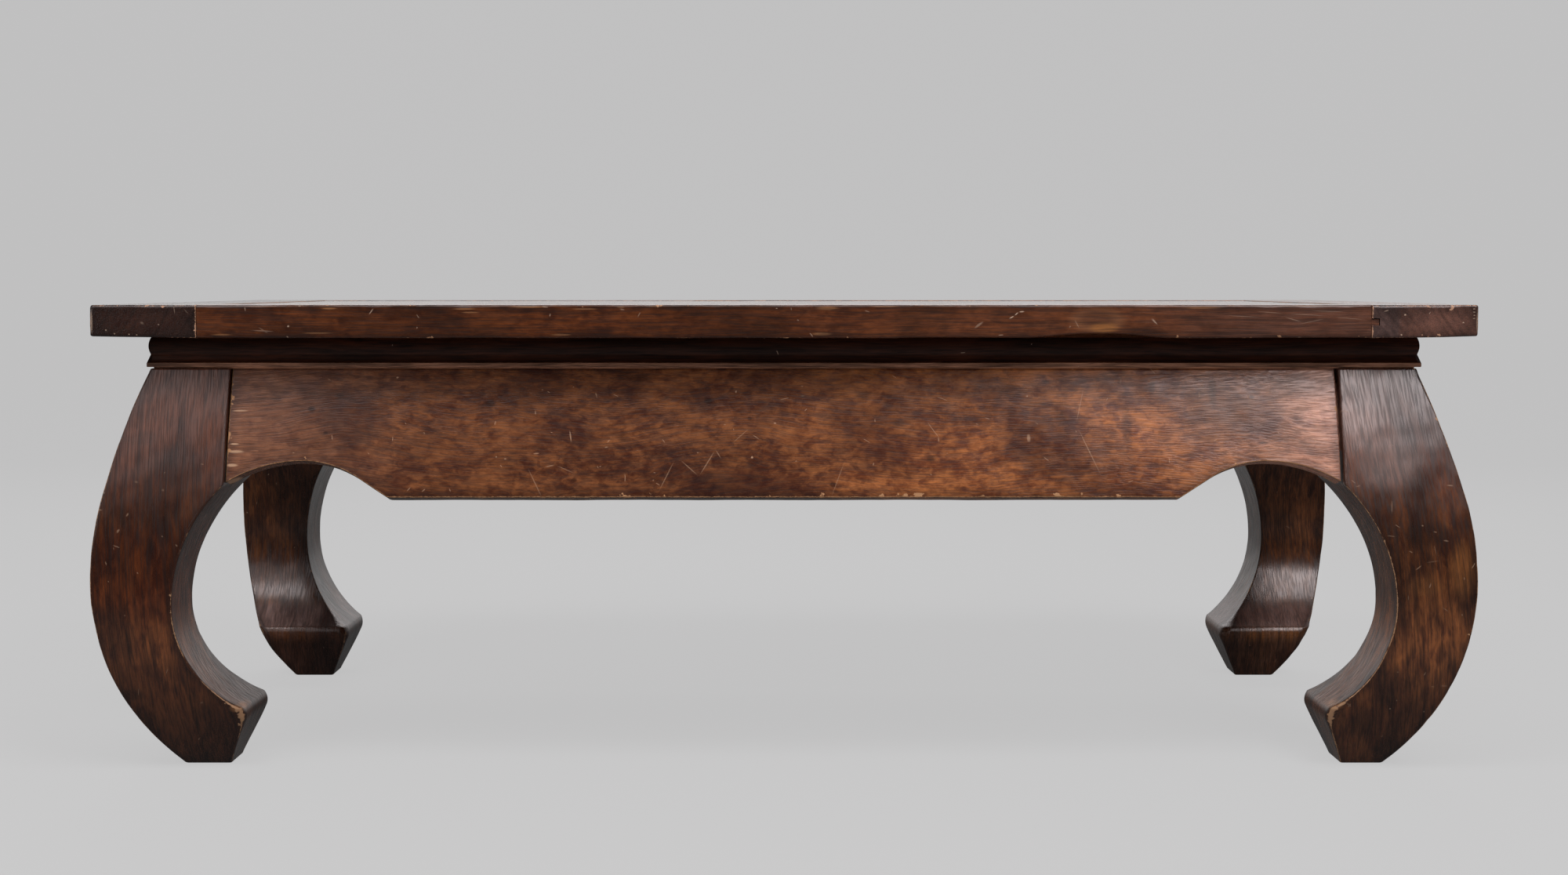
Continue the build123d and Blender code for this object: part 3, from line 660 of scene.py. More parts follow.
# Each leg's ends of X and Y and its seed; how far its toe is longer, its shoulder slimmer and its
# toe's corner bare; its grain's lean and place; its share of pale patches, rub, gloss and tints
leg_table = (
    ("leg_front_left", -1, -1, 11, (0.0, 0.0, 0.0011), (0.05, 0.02), (0.3, 0.1, 0.2), 0.7, 0.53, 0.27,
     ((2, 0.235, 0.205, (0.98, 0.72, 0.52, 1)), (2, 0.155, 0.125, (1.32, 1.70, 2.15, 1)))),
    ("leg_front_right", 1, -1, 31, (0.0036, 0.0018, 0.0012), (-0.1, 0.12), (1.3, 0.4, 0.7), 0.85, 0.60, 0.29,
     ((2, 0.165, 0.125, (2.00, 2.00, 1.80, 1)),)),
    # The back left leg's first tint lightens and greys it from 90 mm down, a painted reflection together with
    # the band of the veils; its second darkens the foot again below the rim
    ("leg_back_left", -1, 1, 51, (0.0, 0.0, 0.0), (0.08, -0.03), (2.1, 0.7, 1.1), 0.8, 0.50, 0.27,
     ((2, 0.090, 0.076, (1.6, 1.8, 1.9, 1)), (2, 0.058, 0.054, (0.80, 0.70, 0.70, 1)))),
    ("leg_back_right", 1, 1, 71, (0.0, 0.0, 0.0), (-0.04, 0.06), (3.4, 0.2, 1.9), 0.9, 0.50, 0.27,
     ((2, 0.060, 0.050, (1.8, 1.9, 1.8, 1)),)),
)
post_inset, post_half = 0.079, 0.025
post_bottom, post_top = 0.3565, 0.3849
post_bevel = 0.0006
for name, end, side, seed, trims, lean, grain_place, patch, rub, gloss, tints in leg_table:
    post_x, post_y = end * (half_length - post_inset), side * (half_depth - post_inset)
    post = square_block((post_x - post_half, post_y - post_half, post_bottom),
                        (post_x + post_half, post_y + post_half, post_top), post_bevel)
    leg_finish = lacquered_wood(
        "leg " + name, (lean[0], radians(90) + lean[1], 0), grain_place,
        (0.130, 0.042, 0.012, 1), (0.026, 0.0066, 0.0025, 1), (0.009, 0.003, 0.002, 1),
        (0.31, 0.165, 0.085, 1),
        rings=(0.012, 0.015, 0.25), fibres=0.95, fibre_length=1.5, grain_relief=0.6, patch_size=0.026,
        patch_length=3.2, patch=patch, cloud_share=0.8, knots=0.3, sawn_through=True, veils=leg_veils[side],
        tints=tints, gloss=gloss, rub_width=0.0017, rub=rub, scratches=0.2, specks=0.3, face=-0.29,
        stains_and_sheens=leg_stains_and_sheen.get(name, ()), pale_marks=leg_scars.get(name, ()), scar=(0.28, 0.17, 0.11, 1),
    )
    fit_piece(name, [carve_leg(end, side, seed, *trims), post], leg_finish)

# ---------------------------------------------------------------------------------------------
# Aprons: bulging boards of figured hardwood between the legs, a little behind their faces, with
# a bracket-shaped lower edge sawn square to the slope. Their ends are tenoned into the legs and
# stand off them by a dark line.
# ---------------------------------------------------------------------------------------------

apron_set_back = 0.0035
apron_thickness = 0.019
apron_bottom = 0.246
bracket_rise = 0.032
leg_drop = 0.0195
arch_radius = 0.124
brace_radius = 0.090
brace_slope = radians(33)
outer_round, inner_round = 0.0013, 0.0010
end_round = 0.0010
tenon_bottom, tenon_top = 0.286, 0.345
tenon_set_backs = (0.009, 0.018)
tenon_stub = 0.009


def bracket_edge(from_middle, half_run):
    """Height of the lower edge above its level stretch, measured along the slope, at each distance
    from the middle: level, a straight brace of 33 degrees, an arc of 90 mm up to the crown, and
    one of 124 mm down to the leg."""
    arch_span = np.sqrt(arch_radius**2 - (arch_radius - leg_drop) ** 2)
    crown = half_run - arch_span
    brace_span = brace_radius * np.sin(brace_slope)
    round_part = bracket_rise - sag(brace_radius, np.clip(crown - from_middle, 0, brace_span))
    past = np.maximum(crown - brace_span - from_middle, 0)
    brace = np.maximum(round_part - past * np.tan(brace_slope), 0)
    arch = bracket_rise - sag(arch_radius, np.clip(from_middle - crown, 0, arch_span))
    return np.where(from_middle > crown, arch, brace)


def side_points(along, out, up, outward):
    """Points of a side of the table that faces outward, from their places along it, out and up."""
    outward = np.array(outward, float)
    return along[..., None] * np.cross(upright, outward) + out[..., None] * outward + up[..., None] * upright


def shape_apron(outward, reach, run, seed, left_gap, right_gap):
    """An apron's skin: its section, two bulging faces with a square-cut foot between them, goes
    along the run, and the foot follows the bracket-shaped edge."""
    half_run = run - knee_inset
    first, last = left_gap - half_run, half_run - right_gap
    span = np.linspace(-1, 1, 441 if run > 0.5 else 221)
    ends = np.array([0.0, 0.0002, 0.0006, 0.0012])
    between = (first + last) / 2 + (last - first - 0.004) / 2 * span
    station = np.concatenate([first + ends, between, (last - ends)[::-1]])
    end_gap = np.minimum(station - first, last - station)[:, None]
    # Where the slope measure of each face is that of the bracket edge
    centre_drop = (shoulder_radius - belly_radius) * np.sin(belly_lean)
    lean_back = np.arcsin((apron_bottom - belly_height + centre_drop) / (shoulder_radius - apron_set_back))
    up_slope = np.array([-np.sin(lean_back), np.cos(lean_back)])
    across = -np.array([np.cos(lean_back), np.sin(lean_back)])
    origin = np.array([reach - bulge(np.array([apron_bottom]), apron_set_back)[0], apron_bottom])
    levels = np.linspace(0.22, shoulder_height + 0.02, 400)
    edge_rise = bracket_edge(abs(station), half_run)
    feet = []
    for set_back in (apron_set_back, apron_set_back + apron_thickness):
        face = np.stack([reach - bulge(levels, set_back), levels], -1)
        low = np.interp(edge_rise, (face - origin) @ up_slope, levels)
        feet.append(np.stack([reach - bulge(low, set_back), low], -1))
    line = station[:, None] * np.array([1.0, 0, 0])
    rounding = outer_round + 0.0008 * np.maximum(waves(line, 0.05, seed), 0)
    rounding = (rounding + 0.0014 * np.maximum(waves(line, 0.011, seed + 1) - 0.3, 0))[:, None]
    turn = np.linspace(0, np.pi / 2, 7)[1:]
    cos, sin = np.cos(turn), np.sin(turn)
    section = []

    def go_on(*values):
        """Adds points to the section: how far out, how high, how far from the arris, and which way
        they face, out and up."""
        section.append(np.broadcast_arrays(*values))

    # Outer face from the top down, quarter round, foot, quarter round, inner face up, top
    start = feet[0][:, 1:] + rounding * up_slope[1]
    z = shoulder_height + (start - shoulder_height) * np.linspace(0, 1, 46)
    go_on(reach - bulge(z, apron_set_back), z, z - start + rounding * np.pi / 4, 1, 0)
    centre = feet[0] + rounding * (up_slope + across)
    arc = centre[:, None] - rounding[:, None] * (cos[:, None] * across + sin[:, None] * up_slope)
    go_on(arc[..., 0], arc[..., 1], rounding * abs(turn - np.pi / 4), cos, -sin)
    part = np.linspace(0, 1, 10)[1:]
    foot = arc[:, -1:] + (feet[1] - inner_round * across - arc[:, -1])[:, None] * part[:, None]
    go_on(foot[..., 0], foot[..., 1], np.minimum(part, 1 - part) * 0.017 + 0.001, 0, -1)
    centre = feet[1] + inner_round * (up_slope - across)
    arc = centre[:, None] + inner_round * (sin[:, None] * across - cos[:, None] * up_slope)
    go_on(arc[..., 0], arc[..., 1], inner_round * abs(turn - np.pi / 4), -sin, -cos)
    start = arc[:, -1, 1:]
    z = start + (shoulder_height - start) * np.linspace(0, 1, 14)[1:]
    go_on(reach - bulge(z, apron_set_back + apron_thickness), z, z - start, -1, 0)
    top_inner, top_outer = section[-1][0][:, -1:], section[0][0][:, :1]
    go_on(top_inner + (top_outer - top_inner) * np.linspace(0, 1, 5)[1:-1], shoulder_height, 0.01, 0, 0)

    o, z, edge, facing_o, facing_z = (np.hstack(values) for values in zip(*section))
    s = np.repeat(station[:, None], o.shape[1], 1)
    spot = np.stack([s, o, z], -1)
    worked = 0.00025 * (1 - waves(spot, 0.09, seed + 2)) + 0.0001 * (1 - waves(spot, 0.025, seed + 3))
    worked = worked * share_of(shoulder_height - z, 0.004) + eased_end(end_round, end_gap)
    points, faces = skin(side_points(s, o - facing_o * worked, z - facing_z * worked, outward))
    edge = np.minimum(edge, end_gap + 0.0015 * (station[:, None] > 0))
    return points, faces, np.append(edge.ravel(), [0.01, 0.01])


def shape_tenon(outward, reach, middle):
    """A stub of an apron's tenon, the middle layer of the bulging board, run on into the leg."""
    z = np.linspace(tenon_top, tenon_bottom, 8)
    outer, inner = (reach - bulge(z, set_back) for set_back in tenon_set_backs)
    s = middle + tenon_stub * np.array([[-1.0], [1.0]])
    points, faces = skin(side_points(s, np.append(outer, inner[::-1]), np.append(z, z[::-1]), outward))
    return points, faces, np.full(len(points), 0.02)


apron_scars = (
    (-478.6, 320.8, 0, 8.8, 1.3, 1), (-481.8, 292, 0, 4.8, 1.5, 1), (-480.4, 285.5, 0, 9, 2, 1),
    (-483.2, 273.8, 0, 6.5, 2.2, 1), (-482.8, 259.7, 25, 8.5, 2.7, 1), (-207.7, 336.9, -31, 2, 0.7, 0.6),
    (-218.8, 319.1, -82, 2.4, 0.8, 0.6), (-253.8, 310.2, -106, 2.5, 0.8, 0.6),
    (-187.4, 298.7, -81, 6.1, 1, 0.65), (-217, 283.9, 3, 3.1, 0.9, 0.6), (-252, 281, 0, 1, 1, 0.6),
    (-244.1, 279.3, 0, 1.4, 1, 0.6), (-217.5, 258.4, -63, 16.4, 0.7, 0.4),
    (-205.1, 273.1, 12, 4.9, 0.8, 0.5), (-191.4, 270.3, -23, 9.7, 0.6, 0.35),
    (-102.7, 264.5, -117, 16.3, 0.7, 0.42), (-82.8, 271.5, -41, 11.2, 0.7, 0.42),
    (-67.2, 275.7, 58, 13.6, 0.8, 0.45), (-57.4, 283.1, -58, 4.9, 0.7, 0.45),
    (-37.9, 299.2, -139, 11.1, 0.6, 0.38), (-7.9, 310, -7, 1.4, 1, 0.8),
    (-155.8, 289.3, 10, 1.9, 0.8, 0.5), (-327.7, 253.3, 47, 2.6, 0.8, 0.55),
    (-314.7, 252.3, 42, 2.3, 0.8, 0.6), (-291.7, 252.4, -69, 1.8, 0.8, 0.5),
    (261, 326.5, -104, 18.2, 0.8, 0.5), (267.7, 285.3, -65, 26.1, 0.8, 0.42),
    (47.3, 262.1, -111, 18.8, 0.6, 0.33), (214.7, 297.2, -87, 4.5, 2.5, 0.5),
    (297.5, 346.2, -100, 3.8, 1.6, 0.35), (470.8, 313.5, -6, 14.8, 0.7, 0.45),
    (16.4, 333.5, 0, 2.7, 1.1, 0.3),
)
apron_knots = (
    (-415.9, 322.2, 0, 4.8, 3.8, 0.85), (-391.8, 333.9, 0, 6.2, 4.1, 0.75),
    (-402.5, 301.6, 0, 2.7, 2.1, 0.7), (-259.1, 327, 0, 6.8, 6.2, 0.8), (-66.7, 329.1, 0, 6.8, 4.8, 0.8),
    (-30.1, 314, 0, 2.7, 2.7, 0.85), (-140.5, 297.2, 0, 6.8, 6.2, 0.5), (-183.6, 261, 0, 3.4, 2.7, 0.7),
    (-128.2, 348.6, 0, 17.8, 6.2, 0.6), (412.3, 332.5, 0, 3.4, 3.4, 0.7), (420.8, 293, 0, 5.5, 1.6, 0.75),
    (347.9, 315, 0, 1.1, 1.1, 0.95), (70.1, 334.5, 0, 9.6, 9.6, 0.6), (101, 310.5, 0, 7.5, 6.2, 0.5),
    (128.6, 279.6, 0, 5.5, 4.8, 0.6), (42.9, 257.3, 0, 4.1, 3.4, 0.7), (230.8, 345.8, 0, 4.8, 3.4, 0.7),
    (236.2, 325, 0, 20.5, 7.5, 0.45), (378, 338, 0, 5.5, 23.2, 0.6), (325, 341.4, 0, 4.1, 12.3, 0.55),
    (301.4, 307.1, 0, 6.2, 28.7, 0.55), (16.4, 333.2, 0, 2.4, 2.4, 0.8),
)
# Along X the front board's wood is paler from the middle on, and its ends are greyer
apron_tints = (
    (0, -0.05, 0.12, (1.88, 1.86, 1.65, 1)), (0, 0.22, 0.30, (1.12, 1.13, 1.20, 1)),
    (0, 0.30, 0.36, (0.81, 0.83, 0.89, 1)), (0, 0.36, 0.50, (1.72, 2.04, 2.80, 1)),
)
apron_veils = (
    (0, -0.30, -0.46, (0.165, 0.072, 0.044, 1), 0.5), (0, 0.32, 0.50, (0.165, 0.070, 0.038, 1), 0.6),
)
front_look = {"tints": apron_tints, "veils": apron_veils, "scratches": 0.4, "pale_marks": apron_scars,
              "dark_marks": apron_knots}
apron_table = (
    ("apron_front", (0, -1, 0), half_depth, half_length, 101, 0.0010, 0.0020),
    ("apron_back", (0, 1, 0), half_depth, half_length, 111, 0.0010, 0.0010),
    ("apron_left", (-1, 0, 0), half_length, half_depth, 121, 0.0012, 0.0008),
    ("apron_right", (1, 0, 0), half_length, half_depth, 131, 0.0008, 0.0012),
)
for name, outward, reach, run, seed, left_gap, right_gap in apron_table:
    shells = [shape_apron(outward, reach, run, seed, left_gap, right_gap)]
    shells += [shape_tenon(outward, reach, sign * (run - knee_inset + 0.004)) for sign in (-1, 1)]
    apron_finish = lacquered_wood(
        "figured " + name, (0, 0, radians(90) * abs(outward[0])), (0.37 * seed, 0.03, 0.24),
        (0.192, 0.067, 0.024, 1), (0.044, 0.0115, 0.0055, 1), (0.020, 0.006, 0.005, 1), (0.34, 0.17, 0.08, 1),
        rings=(0.02, 0.05, 0.15), fibres=0.65, fibre_length=0.6, patch_size=0.03, patch_length=1.7,
        cloud_share=0.65, knots=0.6, gloss=0.28, specular=0.30, face=-0.285, rub_width=0.0018, rub=0.74,
        scar=(0.40, 0.235, 0.145, 1), **(front_look if name == "apron_front" else {"scratches": 0.7}),
    )
    fit_piece(name, shells, apron_finish)

# ---------------------------------------------------------------------------------------------
# Waist: a dark moulded strip on each side between the top and the aprons, with a bead under the
# top, a hollow and a lip over the apron. The four strips meet in mitres at the corners.
# ---------------------------------------------------------------------------------------------

waist_top, bead_foot, waist_foot = 0.3850, 0.3690, 0.3575
bead_inset, bead_swell = 0.0415, 0.0024
cove_inset, cove_depth, cove_drop = 0.0377, 0.0038, 0.0066
lip_inset, lip_round, lip_foot = 0.0376, 0.0006, 0.3595
back_inset = 0.0540
bead_height = np.linspace(waist_top, bead_foot, 18)
bead = bead_inset - bead_swell * np.sin(np.pi * (bead_height - bead_foot) / 0.0165) ** 0.7
cove = np.linspace(0, np.pi / 2, 12)[1:]
lip_turn = np.linspace(0, np.pi / 2, 5)[1:]
waist_inset = np.concatenate([
    bead, cove_inset + cove_depth * np.cos(cove), [lip_inset, lip_inset],
    lip_inset + lip_round * (1 - np.cos(lip_turn)), [0.0427, 0.0427, back_inset, back_inset, 0.0480],
])
waist_height = np.concatenate([
    bead_height, bead_foot - cove_drop * np.sin(cove), [0.3618, 0.3606],
    lip_foot - lip_round * np.sin(lip_turn), [0.3589, waist_foot, waist_foot, waist_top, waist_top],
])


def run_waist(outward, reach, run, seed):
    """A waist strip's skin: its moulded section goes along the side, and each of its lines ends
    on the mitre, as far short of the corner as it is inset."""
    stations = 241
    s = np.linspace(-1, 1, stations)[:, None] * (run - waist_inset)
    s, o, z = np.broadcast_arrays(s, reach - waist_inset, waist_height)
    shown = (waist_inset < 0.0420) & (waist_height < 0.3845)
    o = o - shown * 0.00018 * (1 - waves(np.stack([s, o, z], -1), 0.05, seed))
    lip_distance = np.where(waist_inset < 0.0380, abs(waist_height - 0.3615), 0.02)
    points, faces = skin(side_points(s, o, z, outward))
    return points, faces, np.append(np.tile(lip_distance, stations), [0.02, 0.02])


for name, outward, reach, run, seed, _, _ in apron_table:
    waist_finish = lacquered_wood(
        "waist " + name, (0, 0, radians(90) * abs(outward[0])), (0.61 * seed, 0.0, 0.1),
        (0.044, 0.011, 0.004, 1), (0.022, 0.005, 0.0015, 1), (0.009, 0.003, 0.001, 1),
        (0.170, 0.066, 0.034, 1),
        rings=(0.004, 0.02, 0.3), fibres=1.0, patch_size=0.02, patch_length=5.0, knots=0.0, rub_width=0.0012,
        rub=0.4, scratches=0.1, specks=0.1, gloss=0.4, specular=0.25,
        # The pale band on the lip is a painted highlight: lighter than its wood, for the light that the lip
        # catches from above
        veils=((2, 0.3632, 0.3624, (0.38, 0.175, 0.105, 1), 0.9),),
    )
    strip = run_waist(outward, reach, run, seed + 5)
    fit_piece(name.replace("apron", "waist"), [strip], waist_finish, angle=30)

# ---------------------------------------------------------------------------------------------
# Long rails of the top: the front one shows as a reddish band with a worn hollow in its lower
# edge. Each is tenoned into the end rails and has a groove for the boards and a haunch that
# fills the end rails' groove.
# ---------------------------------------------------------------------------------------------

underside = 0.385
table_height = 0.414
seam_x = 0.508
rail_inner_y = 0.218
groove_bottom, groove_top = 0.396, 0.4022
groove_depth = 0.0068
groove_stop = 0.288
lip = 0.0060
lip_top = groove_bottom + 0.0054
tenon_length = 0.052
tenon_near, tenon_far = 0.245, 0.290
tenon_low, tenon_high = 0.3941, 0.4041
dip_x, dip_half_length, dip_depth = 0.272, 0.060, 0.0036
easing = np.array([0.0, 0.0004, 0.0009, 0.0015, 0.0022, 0.0032, 0.0045])


def joined_block(lines, filled):
    """Skin of joinery cut on a grid of planes: lines holds the planes' places along X, Y and Z, and
    filled says of each cell between them whether it is wood. A face stands between each cell of
    wood and an empty neighbour."""
    counts = [len(line) for line in lines]
    number = np.arange(np.prod(counts)).reshape(counts)
    padded = np.pad(filled, 1)
    quads = []
    for axis in range(3):
        for side in (0, 1):
            neighbour = np.roll(padded, 1 - 2 * side, axis)[1:-1, 1:-1, 1:-1]
            walled = np.argwhere(filled & ~neighbour)
            walled[:, axis] += side
            steps = np.zeros((4, 3), int)
            steps[1:3, (axis + 1) % 3] = 1
            steps[2:4, (axis + 2) % 3] = 1
            corners = walled[:, None, :] + (steps if side else steps[::-1])
            quads.append(number[tuple(np.moveaxis(corners, -1, 0))])
    used, quads = np.unique(np.concatenate(quads), return_inverse=True)
    place = np.unravel_index(used, counts)
    points = np.stack([np.asarray(line)[index] for line, index in zip(lines, place)], -1)
    return points, quads.reshape(-1, 4).tolist()


def ease(points, low, high, low_round, high_round):
    """Rounds a block's arrises: a point nearer to two or three sides than their rounding is drawn
    in to the ball that touches them, from the cube round that ball."""
    low_round, high_round = np.maximum(low_round, 1e-7), np.maximum(high_round, 1e-7)
    kept = np.clip(points, np.array(low) + low_round, np.array(high) - high_round)
    away = points - kept
    share = np.abs(away / np.where(away < 0, low_round, high_round))
    length = np.linalg.norm(share, axis=-1)
    scale = np.where(length > 1e-6, share.max(-1) / np.maximum(length, 1e-6), 1)
    return kept + away * scale[..., None]


def planes(*parts, sign=1):
    """Sorted places of planes, without doubles, mirrored where the sign is -1."""
    return np.unique(np.round(np.concatenate([sign * np.atleast_1d(part) for part in parts]), 6))


def both(values):
    """The values and their negatives."""
    return np.append(values, -np.array(values))


def cells(lines, *corners):
    """Of each cell of the grid, whether it is within the block between two corners."""
    low, high = np.sort(corners, axis=0)
    middles = [(line[1:] + line[:-1]) / 2 for line in lines]
    x, y, z = [(middle > start) & (middle < end) for middle, start, end in zip(middles, low, high)]
    return x[:, None, None] & y[:, None] & z


def saw_long_rail(side, seed):
    """A long rail: block, tenons and haunches, with the boards' groove cut away, its front arrises
    eased and rubbed unevenly, and on the front rail a hollow worn into the lower arris."""
    inner, outer = side * rail_inner_y, side * half_depth
    inner_groove = side * (rail_inner_y + groove_depth)
    lines = (
        planes(np.linspace(-seam_x, seam_x, 340), both(seam_x + tenon_length), both(seam_x + lip),
               both(seam_x - easing[:5])),
        planes(np.linspace(rail_inner_y, half_depth, 12), half_depth - easing, rail_inner_y + groove_depth,
               tenon_far, tenon_near, groove_stop, rail_inner_y + 0.0004, sign=side),
        planes(np.linspace(underside, table_height, 9), underside + easing, table_height - easing,
               groove_bottom, lip_top, groove_top, tenon_low, tenon_high),
    )
    wood = cells(lines, (-seam_x, inner, underside), (seam_x, outer, table_height))
    wood |= cells(lines, (seam_x, inner, groove_bottom), (seam_x + lip, outer, lip_top))
    wood |= cells(lines, (-seam_x - lip, inner, groove_bottom), (-seam_x, side * groove_stop, lip_top))
    wood |= cells(lines, (-seam_x - tenon_length, side * tenon_near, tenon_low),
                  (seam_x + tenon_length, side * tenon_far, tenon_high))
    wood &= ~cells(lines, (-1, inner, groove_bottom), (1, inner_groove, groove_top))
    points, faces = joined_block(lines, wood)
    line = points * (1, 0, 0.3)
    worn = 0.0021 + 0.0006 * waves(line, 0.07, seed) + 0.0006 * np.maximum(waves(line, 0.013, seed + 1), 0)
    seam = np.where(points[:, 0] * side < -0.1, 0.0011, 0.0005)
    rounds = (np.stack([seam, worn, worn], -1), np.stack([seam, seam, worn], -1))[::-side]
    inside = abs(points[:, 0]) < seam_x + 1e-6
    low, high = (-seam_x, min(inner, outer), underside), (seam_x, max(inner, outer), table_height)
    eased = np.where(inside[:, None], ease(points, low, high, *rounds), points)
    depth = abs(eased[:, 1] - outer)
    wave = 0.0003 * (1 + waves(line, 0.16, seed + 2)) * share_of(0.02 - depth, 0.02)
    foot = share_of(0.010 - eased[:, 2] + underside, 0.010) * share_of(0.030 - depth, 0.030)
    if side < 0:
        dip = dip_depth * np.clip(1 - ((eased[:, 0] - dip_x) / dip_half_length) ** 2, 0, 1) ** 1.3
        worn_foot = dip + 0.0005 * (1 + waves(line, 0.11, seed + 3)) * (0.4 + (eased[:, 0] > 0.1) * 0.6)
    else:
        worn_foot = 0.0004 * (1 + waves(line, 0.13, seed + 3))
    eased[:, 2] += foot * worn_foot * inside
    eased[:, 1] -= side * wave * inside * 0.5
    return eased, faces, np.full(len(points), 0.02)


rail_scars = (
    (-356.5, 408.3, 54, 3.9, 0.8, 0.6), (-316.3, 404.2, -57, 2.7, 0.6, 0.35),
    (-449.9, 392.1, -32, 5.9, 0.8, 0.25), (-429.1, 386.4, -31, 1.3, 0.7, 0.6),
    (-418.3, 413, -7, 1.8, 0.8, 0.5), (-125.2, 405.6, 60, 3.1, 0.6, 0.4), (-6.3, 411, 0, 0.9, 0.7, 0.7),
    (6.2, 410.7, -86, 1.5, 0.5, 0.5), (168.3, 396.7, 37, 5.8, 1.6, 0.35),
    (196.6, 403.3, 29, 2.8, 0.9, 0.95), (200.8, 406.3, 41, 2.4, 0.8, 0.95),
    (205.3, 408.1, 5, 2.7, 0.9, 0.95), (253.1, 397.5, -61, 5.2, 0.5, 0.45),
    (320.3, 399.7, -49, 4.2, 0.7, 0.6), (320, 399.4, -43, 4.5, 0.7, 0.6),
    (71.8, 408.5, -18, 2.9, 0.7, 0.4), (445.7, 386, -7, 1.9, 0.8, 0.5),
    (-139.7, 410.1, -10, 2.5, 0.9, 0.4), (-206.4, 412.3, -8, 3.4, 1.1, 0.4),
    (439.8, 401.4, -16, 8.8, 0.6, 0.35), (451.9, 405.5, -3, 16.6, 0.5, 0.35),
    (456.1, 399.7, 12, 12.8, 0.5, 0.3), (419.7, 407.5, -4, 13.6, 0.5, 0.3),
    (488.2, 402.4, -5, 14.3, 0.5, 0.3), (396.1, 404.1, -3, 17, 0.5, 0.25),
    (469.8, 408.5, -2, 17.6, 0.5, 0.3), (-450.5, 391.6, -3, 11.5, 0.8, 0.3),
)
# A big knot with a pale ring and an amber foot, and the spots rubbed pale along both edges
rail_stains = (
    ((0.19, 0.082, 0.038, 1), ((270.9, 400.8, 0, 29, 17.5, 0.75),)),
    ((0.062, 0.021, 0.010, 1), ((270, 401.8, 0, 23.5, 14, 1.0),)),
    ((0.24, 0.092, 0.024, 1), ((276.3, 394.3, 0, 16, 7.5, 0.65),)),
    ((0.28, 0.128, 0.055, 1), (
        (-392.6, 410.9, 0, 8.1, 1.5, 0.8), (-276.2, 410.5, 0, 12.2, 1.2, 0.8),
        (-270.8, 407.5, 0, 9.5, 1.1, 0.6), (-222, 412.2, 0, 19, 1.4, 0.8),
        (-171.9, 410.5, 0, 13.6, 1.2, 0.6), (-140.8, 411.9, 0, 4.7, 1, 0.7),
        (-111.7, 412.6, 0, 6.8, 1.1, 0.5), (37.2, 411.2, 0, 12.2, 2.4, 0.7),
        (32.5, 388.9, 0, 10.8, 2.2, 0.7), (-192.4, 388.2, 0, 10.8, 1.4, 0.6),
        (362.1, 411.6, 0, 21.7, 1.8, 0.65), (-485.7, 388.2, 0, 10.8, 1.4, 0.5),
        (-403.1, 389.6, 0, 16.3, 1.2, 0.5), (88, 412.6, 0, 14.9, 1.2, 0.5),
        (446.7, 412.9, 0, 27.1, 1, 0.6), (-453.5, 412.6, 0, 17.6, 1.1, 0.5),
    )),
)
rail_veils = (
    (0, -0.1, 0.22, (0.15, 0.050, 0.022, 1), 0.40), (0, 0.28, 0.42, (0.07, 0.034, 0.026, 1), 0.60),
)
for name, side, seed in (("front_rail", -1, 201), ("back_rail", 1, 211)):
    near, far = sorted((side * rail_inner_y, side * half_depth))
    rail_finish = lacquered_wood(
        "red brown " + name, (0, 0, 0), (0.2 * seed, 0.33 * side, 0.37),
        (0.116, 0.031, 0.008, 1), (0.036, 0.008, 0.002, 1), (0.016, 0.005, 0.002, 1), (0.34, 0.17, 0.085, 1),
        rings=(0.004, 0.012, 0.25), fibres=0.8, fibre_length=0.8, patch_size=0.028, patch_length=2.0,
        cloud_share=0.6, knots=0.3, rub=0.6, scratches=0.12, specks=0.2, veils=rail_veils,
        block=((-seam_x - 0.1, near, underside), (seam_x + 0.1, far, table_height)),
        **({"stains_and_sheens": rail_stains, "pale_marks": rail_scars} if side < 0 else {}),
    )
    fit_piece(name, [saw_long_rail(side, seed)], rail_finish, angle=32)

# ---------------------------------------------------------------------------------------------
# End rails of the top: they run through to the front and the back, where their dark end grain
# shows. On the right their groove runs out at the front, with the rail's haunch seen in it.
# ---------------------------------------------------------------------------------------------


def saw_end_rail(end, seed):
    """An end rail: a block with the groove cut along its inner side, its outer arrises eased, and
    a little thinner towards the outer end of its front."""
    inner, outer = end * seam_x, end * half_length
    lines = (
        planes(np.linspace(seam_x, half_length, 14), half_length - easing, seam_x + groove_depth,
               seam_x + easing[:3], sign=end),
        planes(np.linspace(-half_depth, half_depth, 150), both(half_depth - easing), both(groove_stop)),
        planes(np.linspace(underside, table_height, 10), underside + easing, table_height - easing,
               groove_bottom, groove_top),
    )
    stop = groove_stop if end < 0 else 1.0
    groove = cells(lines, (inner, -stop, groove_bottom), (end * (seam_x + groove_depth), stop, groove_top))
    points, faces = joined_block(lines, ~groove)
    line = points * (2, 1, 1)
    worn = 0.0023 + 0.0007 * waves(line, 0.06, seed) + 0.0007 * np.maximum(waves(line, 0.012, seed + 1), 0)
    seam = np.full_like(worn, 0.0004)
    rounds = (np.stack([worn, worn, worn], -1), np.stack([seam, worn, worn], -1))[::-end]
    low, high = (min(inner, outer), -half_depth, underside), (max(inner, outer), half_depth, table_height)
    eased = ease(points, low, high, *rounds)
    out = share_of(abs(eased[:, 0]) - seam_x, half_length - seam_x)
    foot = share_of(table_height - eased[:, 2], table_height - underside)
    eased[:, 2] += foot * (0.0016 * out + 0.0002 * (1 + waves(line, 0.10, seed + 2)))
    return eased, faces, np.full(len(points), 0.02)


